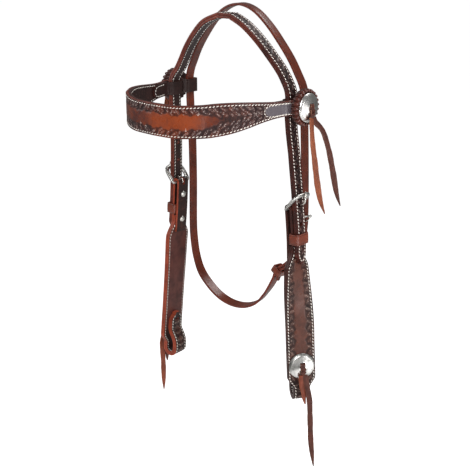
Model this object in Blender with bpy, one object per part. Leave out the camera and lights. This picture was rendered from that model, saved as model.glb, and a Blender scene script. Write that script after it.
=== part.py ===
"""Western browband headstall, built as its separate leather straps, hardware and laces.

The horse faces -Y, its near (left) side is at +X, and +Z is up. The origin is the middle of the flat
face under the top of the crown strap, where the headstall lies on the horse's poll. Sizes are metres.

Each cheek is laid out in its own strip coordinates: drop runs down from the rosette, out points away
from the head, and back points to the rear edge of the strap.
"""

import math

import bmesh
import bpy
from mathutils import Matrix, Vector

# Clearances
LIE_GAP = 0.0003  # between two pieces that lie on each other
SLIP_GAP = 0.0005  # between a strap and the loop or keeper that it slips through
CUT_OVERRUN = 0.004  # how far a cutter runs past the leather
CHAMFER = 0.0006  # rubbed edge of every strap

# Leather
PLY = 0.0032  # one ply of harness leather
STATION_STEP = 0.012  # between two sections of a strap where it curves

# Crown strap and its two billets
CROWN_WIDTH = 0.016
CROWN_HALF_SPAN = 0.1015  # from the middle plane to the crown strap at the rosettes
CROWN_RISE = 0.102  # from the rosettes to the top of the crown
POLL_FLAT = 0.020  # length of the straight piece at the very top
BILLET_BELOW_BAR = 0.073  # from the buckle bars to the tips of the billets
BILLET_POINT = 0.013
BILLET_HOLE = 0.0052
BILLET_HOLE_PITCH = 0.025
BILLET_HOLES_ABOVE = 3
BILLET_HOLES_BELOW = 1

# Throatlatch
THROAT_WIDTH = 0.0127
THROAT_INSIDE_CROWN = 0.001  # nearer to the middle plane than the crown strap
THROAT_RISE = 0.1145
THROAT_BEHIND_CROWN = 0.0280  # at the browband loops
THROAT_BEHIND_AT_POLL = 0.026
THROAT_DROP = 0.301  # from the rosettes to the lowest point under the throat
THROAT_BUCKLE_OUT = 0.097
THROAT_BUCKLE_BACK = 0.010  # how far behind the browband loops the buckle lies
THROAT_BUCKLE_DROP = 0.160
THROAT_KEEPER_OUT = 0.0615
THROAT_KEEPER_DROP = 0.234
THROAT_TAIL = 0.034  # turned-back end behind the throat buckle
THROAT_HOLE = 0.0044
THROAT_HOLE_PITCH = 0.025

# Browband
BROWBAND_WIDTH = 0.0385
BROWBAND_END_WIDTH = 0.0178
BROWBAND_HALF_SPAN = 0.106
BROWBAND_REACH = 0.133  # from the rosettes forward to the forehead
BROWBAND_DIP = 0.010  # how far its middle hangs under the rosettes
BROWBAND_PAST_CROWN = 0.026  # how far its ends run back past the middle of the crown strap
LOOP_LEATHER = 0.0022
LOOP_TAIL = 0.040
LOOP_PINCH_GAP = 0.0009  # between the two layers of a loop where it is pinched together

# Cheeks
CHEEK_WIDTH = 0.038
CHEEK_TOP_WIDTH = 0.0184
CHEEK_END_WIDTH = 0.022
CHEEK_DROP = 0.399  # from the rosettes to the bottom of the bit loops
BAR_DROP = 0.131
FOLD_TAIL_BELOW_BAR = 0.073
WIDEN_START_BELOW_BAR = 0.056
WIDEN_END_BELOW_BAR = 0.081
NARROW_START_ABOVE_END = 0.035
NARROW_END_ABOVE_END = 0.019
LINING_BELOW_BAR = 0.0495
BIT_LOOP_WIDE = 0.011  # clear room for the bit across the loop
BIT_TAB_ABOVE_END = 0.068
BIT_TAB_POINT = 0.010
CONCHO_ABOVE_END = 0.052
TURN_START_BELOW_BAR = 0.049
TURN_END_BELOW_BAR = 0.169
NEAR_TURN = math.radians(34)
FAR_TURN = math.radians(4)

# Cheek hardware
BAR_RADIUS = 0.0019
FRAME_RADIUS = 0.0030
FRAME_THICKNESS_SHARE = 0.72
FRAME_HALF_WIDTH = 0.0145
FRAME_APEX_GAP = 0.0014  # between the top of the frame and the billet
FRAME_APEX_RISE = 0.0185  # how far the top of the frame stands above its bar
TONGUE_RADIUS = 0.0013
TONGUE_OVERHANG = 0.005
KEEPER_HEIGHT = 0.014
KEEPER_LEATHER = 0.0022
KEEPER_BELOW_BAR = 0.0395
UPPER_SCREW_BELOW_BAR = 0.0175
LOWER_SCREW_BELOW_BAR = 0.0540
SCREW_POST_RADIUS = 0.0022
SCREW_HEAD_RADIUS = 0.0042
SCREW_HEAD_HEIGHT = 0.0016

# Throatlatch hardware
THROAT_BAR_RADIUS = 0.0014
THROAT_FRAME_HALF_WIDTH = 0.0098
THROAT_FRAME_RISE = 0.0110
THROAT_TONGUE_RADIUS = 0.0010
THROAT_RIVET_BELOW_BAR = 0.018
THROAT_KEEPER_HEIGHT = 0.009
THROAT_LOOP_SLACK = 0.0010
THROAT_KEEPER_SLACK = 0.0023  # the strap bends inside this keeper
RIVET_POST_RADIUS = 0.0015
RIVET_HEAD_RADIUS = 0.0036
RIVET_HEAD_HEIGHT = 0.0011

# Rosettes, conchos and laces
ROSETTE_RADIUS = 0.0225
ROSETTE_THICKNESS = 0.0095
ROSETTE_BEADS = 23
NEAR_ROSETTE_BACK = 0.0045  # the middle of the near rosette behind the middle of the crown strap
FAR_ROSETTE_BACK = 0.018
CONCHO_RADIUS = 0.0178
CONCHO_DOME = 0.0046
CONCHO_METAL = 0.0012
SLOT_LENGTH = 0.0076
SLOT_HEIGHT = 0.0026
SLOT_OFFSET = 0.0046  # from the middle of the concho up to its slot
LACE_WIDTH = 0.0060
LACE_THICKNESS = 0.0016
LACE_CORD_RADIUS = 0.0016  # the free tails as plain round cords
LACE_TAIL_STEP = 0.008

# Places along the straps, as shares of the sizes that they follow
crown_arch_shares = (
    (1.0, 0.0, 0.25), (1.0, 0.05, 0.25), (1.0, 0.115, 0.26), (0.98, 0.19, 0.29), (0.935, 0.27, 0.31),
    (0.845, 0.40, 0.30), (0.695, 0.565, 0.22), (0.51, 0.75, 0.10), (0.305, 0.905, 0.02),
)
far_crown_arch_shares = (
    (1.0, 0.0, 0.25), (1.0, 0.05, 0.25), (1.0, 0.115, 0.27), (0.97, 0.19, 0.38), (0.915, 0.27, 0.48),
    (0.83, 0.40, 0.46), (0.705, 0.565, 0.28), (0.53, 0.75, 0.08), (0.34, 0.905, -0.03),
)
throat_arch_shares = (
    (1.0, 0.0), (1.0, 0.05), (0.996, 0.10), (0.962, 0.20), (0.90, 0.30), (0.80, 0.45), (0.66, 0.61),
    (0.48, 0.785), (0.28, 0.925), (0.09, 0.99),
)
throat_loop_shares = (
    (-1.0, 0.0), (-0.99, 0.10), (-0.965, 0.25), (-0.96, 0.45), (-0.97, 0.65), (-0.955, 0.74),
    (-0.91, 0.82), (-0.82, 0.89), (-0.67, 0.94), (-0.49, 0.978), (-0.30, 0.998), (-0.10, 1.0),
    (0.09, 0.985), (0.26, 0.952), (0.38, 0.905), (0.47, 0.86), (0.55, 0.81),
)
throat_lying_shares = (
    (1.0, 0.0), (0.985, 0.20), (0.95, 0.40), (0.85, 0.58), (0.62, 0.74), (0.34, 0.87), (0.05, 0.985),
    (-0.03, 1.17),
)
browband_plan_shares = (
    (0.995, 0.17), (0.92, 0.372), (0.87, 0.518), (0.795, 0.664), (0.705, 0.774), (0.59, 0.876),
    (0.33, 0.978), (0.0, 1.0),
)
near_line_shares = (
    (0.0, 1.000, 0.00), (0.045, 1.002, 0.003), (0.15, 1.035, 0.035), (0.30, 1.070, 0.080),
    (0.43, 1.100, 0.105), (0.55, 1.128, 0.095), (0.75, 1.178, 0.085), (1.0, 1.240, 0.075),
)
far_line_shares = (
    (0.0, 1.000, 0.00), (0.045, 1.001, 0.003), (0.15, 1.0165, 0.03), (0.30, 1.042, 0.04),
    (0.43, 1.072, 0.035), (0.55, 1.108, 0.012), (0.75, 1.174, -0.008), (1.0, 1.262, -0.02),
)
browband_taper_share = 0.72
poll_level_share = 0.4  # where the level face at the very top ends, of the straight piece
throat_keeper_back_share = 0.3
frame_arch_share = 0.62  # height of the buckle's arch, of its half width
frame_squareness = 0.8
rosette_bead_share = 0.045
rosette_profile_shares = ((0.0, 0.93), (0.30, 1.0), (0.72, 1.0), (1.0, 0.90))  # height and radius
concho_profile_shares = ((1.0, 0.0), (0.93, 0.30), (0.72, 0.66), (0.42, 0.90))  # radius and height
concho_rim_share = 0.6  # height of the concho's rim, of its metal
point_end_share = 0.30  # width of a pointed strap's tip, of its full width
gather_share = 0.45  # where the bit loop is gathered, of the concho's radius below its middle
bit_loop_rise_shares = ((0.30, 0.03), (0.55, 0.32), (0.80, 0.80))  # of the way up and of the way out
throat_cap_share = 0.87  # below this share of its drop the throatlatch lies flat under the throat
throat_cap_lean = 0.22
to_throat_buckle_shares = ((0.0, 0.10), (0.50, 0.42), (0.94, 0.78))  # of the way out and of the drop
lying_step_share = 0.6
bar_end_share = 0.93  # where the buckle's bar ends, of its half width
bar_middle_share = 0.5
frame_leg_share = 0.35  # height of the buckle's lower corner, of its straight leg
tongue_rise_shares = (0.5, 0.25, 3.2)  # of the tongue's radius, where it leaves the hole
tongue_over_shares = (1.0, 0.4, 0.8)  # of the tongue's radius, where it lies over the frame
tongue_tip_share = 0.6
throat_overhang_share = 0.6
head_profile_shares = ((1.0, 0.55), (0.5, 0.92))  # height and radius of a rivet's domed head
keeper_corner_shares = (0.42, 1.2)  # of the keeper's leather, inside and outside
lace_bend_shares = (1.6, 0.5, 0.35, 1.3)  # of the lace's thickness, where it turns over the slot
loop_lead_share = 1.8  # where a loop leaves the browband, of its distance out
crown_loop_shares = (  # of the distance out, and of the bend before and after the crown strap
    (-0.8, "front", -0.9), (-1.0, "front", 1.0), (-1.0, "crown", -1.0), (-0.78, "crown", 0.5),
    (-0.1, "crown", 1.55),
)
pinch_shares = ((0.75, -0.55), (1.0, 0.0), (0.75, 0.55))
throat_turn_shares = ((0.8, -0.3), (1.0, 1.0))
loop_nose_share = 1.15

# Routes of the free lace tails: (out, back, down) from the lower edge of their knot, chosen by hand
near_rosette_tail_routes = {
    "front": (
        (0.0, -0.0022, 0.0), (0.001, -0.003, 0.010), (0.003, -0.003, 0.030), (0.005, 0.000, 0.055),
        (0.007, 0.003, 0.080), (0.009, 0.008, 0.104), (0.011, 0.015, 0.122),
    ),
    "back": (
        (0.0, 0.0022, 0.0), (0.001, 0.004, 0.006), (0.005, 0.014, 0.018), (0.008, 0.023, 0.042),
        (0.011, 0.029, 0.070), (0.014, 0.034, 0.098), (0.017, 0.039, 0.116),
    ),
}
far_rosette_tail_routes = {
    "front": ((0.0, -0.0022, 0.0), (0.001, -0.003, 0.010), (0.002, -0.003, 0.025), (0.002, -0.002, 0.046)),
    "back": (
        (0.0, 0.0022, 0.0), (0.001, 0.004, 0.008), (0.003, 0.009, 0.025), (0.002, 0.014, 0.050),
        (0.000, 0.017, 0.093),
    ),
}
near_bit_tail_routes = {
    "front": ((0.0, -0.0022, 0.0), (0.0006, -0.0024, 0.010), (0.002, 0.000, 0.024), (0.002, 0.003, 0.042)),
    "back": (
        (0.0, 0.0022, 0.0), (0.0008, 0.004, 0.010), (0.003, 0.0085, 0.035), (0.004, 0.010, 0.065),
        (0.004, 0.012, 0.100), (0.003, 0.017, 0.139),
    ),
}
far_bit_tail_routes = {
    "front": (
        (0.0, -0.0022, 0.0), (0.001, -0.004, 0.010), (0.004, -0.006, 0.030), (0.003, -0.005, 0.060),
        (0.002, -0.006, 0.107),
    ),
    "back": ((0.0, 0.0022, 0.0), (0.0008, 0.004, 0.008), (0.004, 0.005, 0.030), (0.003, 0.004, 0.062)),
}

# Worked out from the sizes above
STRAP = 2 * PLY + LIE_GAP  # two plies stitched together
CROWN_TOP = STRAP / 2  # the crown's middle layer above the origin
ROSETTE_LEVEL = CROWN_TOP - CROWN_RISE
CROWN_BACKSET = CROWN_WIDTH * crown_arch_shares[0][2]  # the crown strap's middle at the rosettes
BILLET_FACE = STRAP / 2
BILLET_DROP = BAR_DROP + BILLET_BELOW_BAR
THROAT_HALF_SPAN = CROWN_HALF_SPAN - THROAT_INSIDE_CROWN
FOLD_TAIL_DROP = BAR_DROP + FOLD_TAIL_BELOW_BAR
WIDEN_START = BAR_DROP + WIDEN_START_BELOW_BAR
WIDEN_END = BAR_DROP + WIDEN_END_BELOW_BAR
TURN_START = BAR_DROP + TURN_START_BELOW_BAR
TURN_END = BAR_DROP + TURN_END_BELOW_BAR
LINING_START = BAR_DROP + LINING_BELOW_BAR
KEEPER_DROP = BAR_DROP + KEEPER_BELOW_BAR
SCREW_DROPS = (BAR_DROP + UPPER_SCREW_BELOW_BAR, BAR_DROP + LOWER_SCREW_BELOW_BAR)
NARROW_START = CHEEK_DROP - NARROW_START_ABOVE_END
NARROW_END = CHEEK_DROP - NARROW_END_ABOVE_END
BIT_TAB_DROP = CHEEK_DROP - BIT_TAB_ABOVE_END
CONCHO_DROP = CHEEK_DROP - CONCHO_ABOVE_END
CHEEK_OUT = -(STRAP + SLIP_GAP)  # middle layer of the cheek, inside the billet
TOP_PLY_OUT = CHEEK_OUT + (LIE_GAP + PLY) / 2
BAR_OUT = TOP_PLY_OUT - PLY / 2 - LIE_GAP - BAR_RADIUS
FOLD_RADIUS = BAR_RADIUS + LIE_GAP + PLY / 2
TAIL_OUT = BAR_OUT - FOLD_RADIUS
TONGUE_HOOK_RADIUS = BAR_RADIUS + LIE_GAP + TONGUE_RADIUS
LOOP_OUT = BILLET_FACE + SLIP_GAP + LOOP_LEATHER / 2
BROWBAND_OUT = BILLET_FACE + SLIP_GAP + LOOP_LEATHER + LIE_GAP + STRAP / 2
BROWBAND_FACE = BROWBAND_OUT + STRAP / 2
CONCHO_RIM = CONCHO_METAL * concho_rim_share
CONCHO_TOP = CONCHO_RIM + CONCHO_DOME
TAIL_OUT_AT_KNOT = CONCHO_TOP + LIE_GAP + LACE_THICKNESS
SIDES = (("near", 1), ("far", -1))
TURN = {1: NEAR_TURN, -1: FAR_TURN}
LINE_SHARES = {1: near_line_shares, -1: far_line_shares}
ROSETTE_BACK = {1: NEAR_ROSETTE_BACK, -1: FAR_ROSETTE_BACK}


# Scene and materials
def clear_scene():
    for old in list(bpy.data.objects):
        bpy.data.objects.remove(old, do_unlink=True)


def surface(name, colour, roughness, metallic=0.0):
    material = bpy.data.materials.new(name)
    material.use_nodes = True
    shader = material.node_tree.nodes["Principled BSDF"]
    shader.inputs["Base Color"].default_value = (*colour, 1.0)
    shader.inputs["Roughness"].default_value = roughness
    shader.inputs["Metallic"].default_value = metallic
    material.diffuse_color = (*colour, 1.0)
    return material


def make_materials():
    return {
        "tooled": surface("tooled_leather", (0.115, 0.032, 0.014), 0.42),
        "lining": surface("lining_leather", (0.060, 0.020, 0.014), 0.60),
        "strap": surface("plain_strap_leather", (0.135, 0.034, 0.013), 0.45),
        "lace": surface("lace_leather", (0.200, 0.075, 0.036), 0.62),
        "silver": surface("engraved_silver", (0.74, 0.74, 0.72), 0.24, 1.0),
        "steel": surface("nickel_plate", (0.66, 0.66, 0.66), 0.22, 1.0),
    }


# Curves through hand-chosen points
def spline_point(before, start, end, after, t):
    return 0.5 * (
        2 * start
        + (end - before) * t
        + (2 * before - 5 * start + 4 * end - after) * t**2
        + (3 * start - before - 3 * end + after) * t**3
    )


def smooth_route(points, step):
    """A smooth curve through the points, with its own points about step apart."""
    points = [Vector(p) for p in points]
    ends = [2 * points[0] - points[1], *points, 2 * points[-1] - points[-2]]
    route = []
    for i in range(1, len(ends) - 2):
        pieces = max(1, round((ends[i + 1] - ends[i]).length / step))
        route += [spline_point(*ends[i - 1 : i + 3], k / pieces) for k in range(pieces)]
    return [*route, points[-1]]


def table_value(table, share):
    """The rows of a table of shares, read smoothly at one share of its first column."""
    share = min(max(share, table[0][0]), table[-1][0])
    i = next(k for k in range(1, len(table)) if share <= table[k][0])
    rows = [Vector(table[min(max(k, 0), len(table) - 1)]) for k in (i - 2, i - 1, i, i + 1)]
    t = (share - table[i - 1][0]) / (table[i][0] - table[i - 1][0])
    return spline_point(*rows, t)


def ease(share):
    share = min(max(share, 0.0), 1.0)
    return share * share * (3 - 2 * share)


def between(value, start, end):
    return ease((value - start) / (end - start))


# Strip coordinates of the cheeks
def side_turn(side, drop):
    return TURN[side] * between(drop, TURN_START, TURN_END)


def side_line(side, drop):
    """The middle of the billet, or of the place below it, at this drop."""
    row = table_value(LINE_SHARES[side], drop / CHEEK_DROP)
    return Vector((
        side * CROWN_HALF_SPAN * row[1],
        CROWN_BACKSET + CROWN_HALF_SPAN * row[2],
        ROSETTE_LEVEL - drop,
    ))


def side_axes(side, drop):
    turn = side_turn(side, drop)
    out = Vector((side * math.cos(turn), -math.sin(turn), 0))
    back = Vector((side * math.sin(turn), math.cos(turn), 0))
    return out, back


def side_point(side, drop, out, back):
    out_axis, back_axis = side_axes(side, drop)
    return side_line(side, drop) + out * out_axis + back * back_axis


def rigid_frame(origin, up, out):
    """A frame with local X along out, local Z up, and local Y across."""
    up = up.normalized()
    out = (out - out.dot(up) * up).normalized()
    across = up.cross(out)
    frame = Matrix((out, across, up)).transposed().to_4x4()
    frame.translation = origin
    return frame


def side_frame(side, drop, out, back=0.0):
    """The frame of a stiff piece that sits on the strap at this drop."""
    step = STATION_STEP
    up = side_line(side, drop - step) - side_line(side, drop + step)
    out_axis, back_axis = side_axes(side, drop)
    up -= up.dot(back_axis) * back_axis
    return rigid_frame(side_point(side, drop, out, back), up, out_axis)


# Meshes
def finish_mesh(name, work, material, frame=None, smooth=False):
    bmesh.ops.recalc_face_normals(work, faces=work.faces)
    mesh = bpy.data.meshes.new(name)
    work.to_mesh(mesh)
    work.free()
    mesh.materials.append(material)
    piece = bpy.data.objects.new(name, mesh)
    bpy.context.scene.collection.objects.link(piece)
    if frame is not None:
        piece.matrix_world = frame
    if smooth:
        mesh.shade_smooth()
        mesh.set_sharp_from_angle(angle=math.radians(40))
    return piece


def skin_rings(work, rings, closed=False, split=False):
    """Joins rings of points into a tube, capped at both ends unless it is closed.

    A strap's walls are split so that the diagonals of its two faces match those of the next ply.
    """
    rows = [[work.verts.new(p) for p in ring] for ring in rings]
    count = len(rows[0])
    pairs = list(zip(rows, rows[1:]))
    if closed:
        pairs.append((rows[-1], rows[0]))
    for near_row, far_row in pairs:
        for k in range(count):
            after = (k + 1) % count
            corners = (near_row[k], near_row[after], far_row[after], far_row[k])
            if not split:
                work.faces.new(corners)
            elif k < count / 2:
                work.faces.new(corners[:3])
                work.faces.new((corners[0], corners[2], corners[3]))
            else:
                work.faces.new((corners[0], corners[1], corners[3]))
                work.faces.new(corners[1:])
    if not closed:
        work.faces.new(rows[0][::-1])
        work.faces.new(rows[-1])


def strap_section(half_width, half_thickness):
    """Corner places (across, through) of a strap with rubbed edges."""
    rub = min(CHAMFER, half_width / 2)
    return [
        (half_width - rub, half_thickness), (half_width, half_thickness - rub),
        (half_width, rub - half_thickness), (half_width - rub, -half_thickness),
        (rub - half_width, -half_thickness), (-half_width, rub - half_thickness),
        (-half_width, half_thickness - rub), (rub - half_width, half_thickness),
    ]


def strap_rings(stations, offset, thickness):
    """Sections of one ply. A station is (middle, across, through, half width)."""
    rings = []
    for middle, across, through, half_width in stations:
        section = strap_section(half_width, thickness / 2)
        rings.append([middle + w * across + (offset + n) * through for w, n in section])
    return rings


def make_strap(name, stations, offset, thickness, material):
    work = bmesh.new()
    skin_rings(work, strap_rings(stations, offset, thickness), split=True)
    return finish_mesh(name, work, material)


def cross_section_axes(route, across_hints):
    """The across and through directions of a strap at each point of its route."""
    axes = []
    for i, hint in enumerate(across_hints):
        along = (route[min(i + 1, len(route) - 1)] - route[max(i - 1, 0)]).normalized()
        across = (hint - hint.dot(along) * along).normalized()
        axes.append((across, along.cross(across)))
    return axes


def pointed(half_width, to_end, point_length):
    """The half width of a strap near its pointed tip."""
    if to_end >= point_length:
        return half_width
    return half_width * (point_end_share + (1 - point_end_share) * ease(to_end / point_length))


def tube_rings(route, radii, closed=False, sides=8, squash=1.0, flat_axis=None):
    """Round or oval sections along a route that lies in one plane, square to flat_axis."""
    rings = []
    count = len(route)
    for i, (middle, radius) in enumerate(zip(route, radii)):
        if closed:
            along = route[(i + 1) % count] - route[i - 1]
        else:
            along = route[min(i + 1, count - 1)] - route[max(i - 1, 0)]
        sideways = flat_axis.cross(along).normalized()
        turns = [2 * math.pi * k / sides for k in range(sides)]
        rings.append([
            middle + radius * (math.cos(a) * sideways + squash * math.sin(a) * flat_axis) for a in turns
        ])
    return rings


def cutter(name, work, frame=None):
    tool = finish_mesh(name, work, None, frame)
    tool.hide_render = True
    tool.display_type = "WIRE"
    return tool


def cut(piece, tool):
    modifier = piece.modifiers.new("cut", "BOOLEAN")
    modifier.operation = "DIFFERENCE"
    modifier.object = tool


def add_round(work, frame, radius, start, end, sides=12):
    """A round bar along the local X of the frame."""
    rings = []
    for x in (start, end):
        turns = [2 * math.pi * k / sides for k in range(sides)]
        rings.append([frame @ Vector((x, radius * math.cos(a), radius * math.sin(a))) for a in turns])
    skin_rings(work, rings)


def add_box(work, frame, low, high):
    """A box between two corners in the local axes of the frame."""
    rings = []
    for x in (low[0], high[0]):
        corners = ((low[1], low[2]), (high[1], low[2]), (high[1], high[2]), (low[1], high[2]))
        rings.append([frame @ Vector((x, y, z)) for y, z in corners])
    skin_rings(work, rings)


# Crown strap
def crown_arch():
    """The crown from one rosette over the top to the other, without its billets."""
    halves = []
    for side, shares in ((1, crown_arch_shares), (-1, far_crown_arch_shares)):
        half = []
        for span_share, rise_share, back_share in shares:
            x = side * CROWN_HALF_SPAN * span_share
            half.append(Vector((x, CROWN_WIDTH * back_share, ROSETTE_LEVEL + CROWN_RISE * rise_share)))
        top = Vector((side * POLL_FLAT / 2, 0, CROWN_TOP))
        halves.append(smooth_route([*half, top], STATION_STEP))
        halves[-1].append(Vector((side * POLL_FLAT * poll_level_share, 0, CROWN_TOP)))
    return halves[0] + halves[1][::-1]


def crown_stations():
    near = []
    steps = round(BILLET_DROP / STATION_STEP)
    for k in range(steps, 0, -1):
        near.append(side_line(1, BILLET_DROP * k / steps))
    far = [side_line(-1, BILLET_DROP * k / steps) for k in range(1, steps + 1)]
    route = near + crown_arch() + far
    hints = [Vector((0, 1, 0))] * len(route)
    stations = []
    for point, (across, through) in zip(route, cross_section_axes(route, hints)):
        to_tip = point.z - (ROSETTE_LEVEL - BILLET_DROP)
        stations.append((point, across, through, pointed(CROWN_WIDTH / 2, to_tip, BILLET_POINT)))
    return stations


def tongue_hole_drop():
    return BAR_DROP - TONGUE_HOOK_RADIUS - TONGUE_RADIUS


def billet_hole_cutter():
    work = bmesh.new()
    for _, side in SIDES:
        for k in range(-BILLET_HOLES_BELOW, BILLET_HOLES_ABOVE + 1):
            drop = tongue_hole_drop() - k * BILLET_HOLE_PITCH
            reach = STRAP / 2 + CUT_OVERRUN
            add_round(work, side_frame(side, drop, 0.0), BILLET_HOLE / 2, -reach, reach)
    return cutter("billet_hole_punch", work)


def make_crown(materials):
    stations = crown_stations()
    offset = (PLY + LIE_GAP) / 2
    outer = make_strap("crown_strap_outer", stations, -offset, PLY, materials["tooled"])
    lining = make_strap("crown_strap_lining", stations, offset, PLY, materials["lining"])
    punch = billet_hole_cutter()
    for ply in (outer, lining):
        cut(ply, punch)


# Cheeks
def cheek_half_width(drop):
    wide = between(drop, WIDEN_START, WIDEN_END)
    narrow = between(drop, NARROW_START, NARROW_END)
    width = CHEEK_TOP_WIDTH + (CHEEK_WIDTH - CHEEK_TOP_WIDTH) * wide
    return (width + (CHEEK_END_WIDTH - CHEEK_WIDTH) * narrow) / 2


def arc(centre_drop, centre_out, radius, start, end, pieces):
    """Points on an arc in (drop, out); the angle 0 points out and 90 degrees points up."""
    points = []
    for k in range(pieces + 1):
        angle = math.radians(start + (end - start) * k / pieces)
        points.append((centre_drop - radius * math.sin(angle), centre_out + radius * math.cos(angle)))
    return points


def straight(start, end, step):
    pieces = max(1, round(math.dist(start, end) / step))
    return [
        tuple(a + (b - a) * k / pieces for a, b in zip(start, end)) for k in range(pieces + 1)
    ]


def bit_loop_points():
    """From the cheek down round the bit loop and up to the tab, as (drop, out) of the middle layer."""
    radius = (BIT_LOOP_WIDE + STRAP) / 2
    bottom = CHEEK_DROP - STRAP / 2 - radius
    tab_out = CHEEK_OUT - STRAP - LIE_GAP
    loop = arc(bottom, CHEEK_OUT - radius, radius, 0, -180, 12)
    gather = CONCHO_DROP + CONCHO_RADIUS * gather_share
    far_out = CHEEK_OUT - 2 * radius
    back = []
    for rise_share, out_share in bit_loop_rise_shares:
        back.append((
            bottom - rise_share * (bottom - gather), far_out + out_share * (tab_out - far_out)
        ))
    tab = (BIT_TAB_DROP + BIT_TAB_POINT, BIT_TAB_DROP + BIT_TAB_POINT / 2, BIT_TAB_DROP)
    return loop, back + [(drop, tab_out) for drop in (gather, *tab)]


def cheek_stations(side, points, widths):
    """Sections of the cheek from (drop, out) points; through points away from the middle of the folds."""
    stations = []
    for i, (drop, out) in enumerate(points):
        before, after = points[max(i - 1, 0)], points[min(i + 1, len(points) - 1)]
        along = Vector((after[0] - before[0], after[1] - before[1])).normalized()
        out_axis, back_axis = side_axes(side, drop)
        down = Vector((0, 0, -1))
        through = -along.y * down + along.x * out_axis
        stations.append((side_point(side, drop, out, 0.0), back_axis, through, widths[i]))
    return stations


def outer_cheek_path():
    """The outer ply: turned-back tail, fold round the buckle bar, cheek, bit loop and tab."""
    tail = straight((FOLD_TAIL_DROP, TAIL_OUT), (BAR_DROP, TAIL_OUT), STATION_STEP)
    fold = arc(BAR_DROP, BAR_OUT, FOLD_RADIUS, 180, 0, 10)
    end = CHEEK_DROP - (BIT_LOOP_WIDE + STRAP) / 2
    body = straight((BAR_DROP, CHEEK_OUT), (end, CHEEK_OUT), STATION_STEP)
    return tail[:-1] + fold[:-1], body


def cheek_paths():
    offset = (PLY + LIE_GAP) / 2
    top, body = outer_cheek_path()
    loop, back = bit_loop_points()
    body = [p for p in body if p[0] < loop[0][0] - STATION_STEP / 2]
    lower = body + loop + back
    lining = [p for p in lower if p[0] > LINING_START or p[1] < CHEEK_OUT - PLY]
    lining = [(LINING_START, CHEEK_OUT), *lining]
    return top, lower, lining, offset


def cheek_widths(points):
    """Half widths down the cheek; behind the bit loop only the tab's point narrows it."""
    loop_start = next(i for i, (_, out) in enumerate(points) if out < CHEEK_OUT - STRAP)
    widths = [cheek_half_width(drop) for drop, _ in points[:loop_start]]
    for drop, _ in points[loop_start:]:
        widths.append(pointed(CHEEK_END_WIDTH / 2, drop - BIT_TAB_DROP, BIT_TAB_POINT))
    return widths


def fold_slot_cutter(name, side):
    """Slot in the fold for the buckle tongue."""
    half = TONGUE_RADIUS + LIE_GAP * 2
    reach = FOLD_RADIUS + PLY
    work = bmesh.new()
    low = (TAIL_OUT - BAR_OUT - PLY, -half, -reach / 2 - PLY / 2)
    high = (reach, half, reach + PLY / 2)
    add_box(work, side_frame(side, BAR_DROP, BAR_OUT), low, high)
    return cutter(name, work)


def screw_hole_cutter(name, side):
    work = bmesh.new()
    for drop in SCREW_DROPS:
        radius = SCREW_POST_RADIUS + LIE_GAP
        frame = side_frame(side, drop, 0.0)
        add_round(work, frame, radius, TAIL_OUT - PLY - CUT_OVERRUN, BILLET_FACE + LIE_GAP / 2, 12)
    return cutter(name, work)


def lace_hole_cutter(name, frame, reach):
    """Slot for a lace through everything under its concho."""
    half = SLOT_LENGTH / 2
    work = bmesh.new()
    low = (-reach, -half, SLOT_OFFSET - SLOT_HEIGHT / 2)
    high = (reach, half, SLOT_OFFSET + SLOT_HEIGHT / 2)
    add_box(work, frame, low, high)
    return cutter(name, work)


def make_cheek(label, side, materials):
    top, lower, lining_points, offset = cheek_paths()
    top_stations = cheek_stations(side, top, [CHEEK_TOP_WIDTH / 2] * len(top))
    widths = cheek_widths(lower)
    lower_stations = cheek_stations(side, lower, widths)
    shifted = [(m + offset * t, a, t, w) for m, a, t, w in lower_stations]
    outer = make_strap(f"{label}_cheek_outer", top_stations + shifted, 0.0, PLY, materials["tooled"])
    lining_stations = cheek_stations(side, lining_points, cheek_widths(lining_points))
    lining = make_strap(f"{label}_cheek_lining", lining_stations, -offset, PLY, materials["lining"])
    slot = fold_slot_cutter(f"{label}_fold_slot", side)
    screws = screw_hole_cutter(f"{label}_screw_holes", side)
    concho = side_frame(side, CONCHO_DROP, CHEEK_OUT)
    lace = lace_hole_cutter(f"{label}_bit_lace_hole", concho, 2 * STRAP + CUT_OVERRUN)
    cut(outer, slot)
    for ply in (outer, lining):
        cut(ply, screws)
        cut(ply, lace)


# Buckles
def frame_outline(half_width, rise, bar_radius, side_radius):
    """Points and radii round an arched buckle frame, in its own (across, up) plane."""
    arch_start = rise - half_width * frame_arch_share
    leg = arch_start * frame_leg_share
    points = [(half_width * s, 0.0, bar_radius) for s in (0.0, bar_middle_share, bar_end_share)]
    points.append((half_width, leg, side_radius))
    for k in range(9):
        across = math.cos(math.pi * k / 8)
        across = math.copysign(abs(across) ** frame_squareness, across)
        up = math.sin(math.pi * k / 8) ** frame_squareness
        points.append((half_width * across, arch_start + (rise - arch_start) * up, side_radius))
    points.append((-half_width, leg, side_radius))
    points += [(-half_width * s, 0.0, bar_radius) for s in (bar_end_share, bar_middle_share)]
    return points


def make_frame(name, frame, half_width, length, lean, bar_radius, side_radius, material):
    """An arched frame hinged on its bar; it leans out from the strap by its own angle."""
    outline = frame_outline(half_width, length, bar_radius, side_radius)
    lean_up = Vector((math.sin(lean), 0, math.cos(lean)))
    flat_axis = Vector((math.cos(lean), 0, -math.sin(lean)))
    route = [Vector((0, across, 0)) + up * lean_up for across, up, _ in outline]
    work = bmesh.new()
    radii = [radius for _, _, radius in outline]
    rings = tube_rings(route, radii, True, 8, FRAME_THICKNESS_SHARE, flat_axis)
    skin_rings(work, rings, True)
    return finish_mesh(name, work, material, frame, smooth=True)


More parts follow.
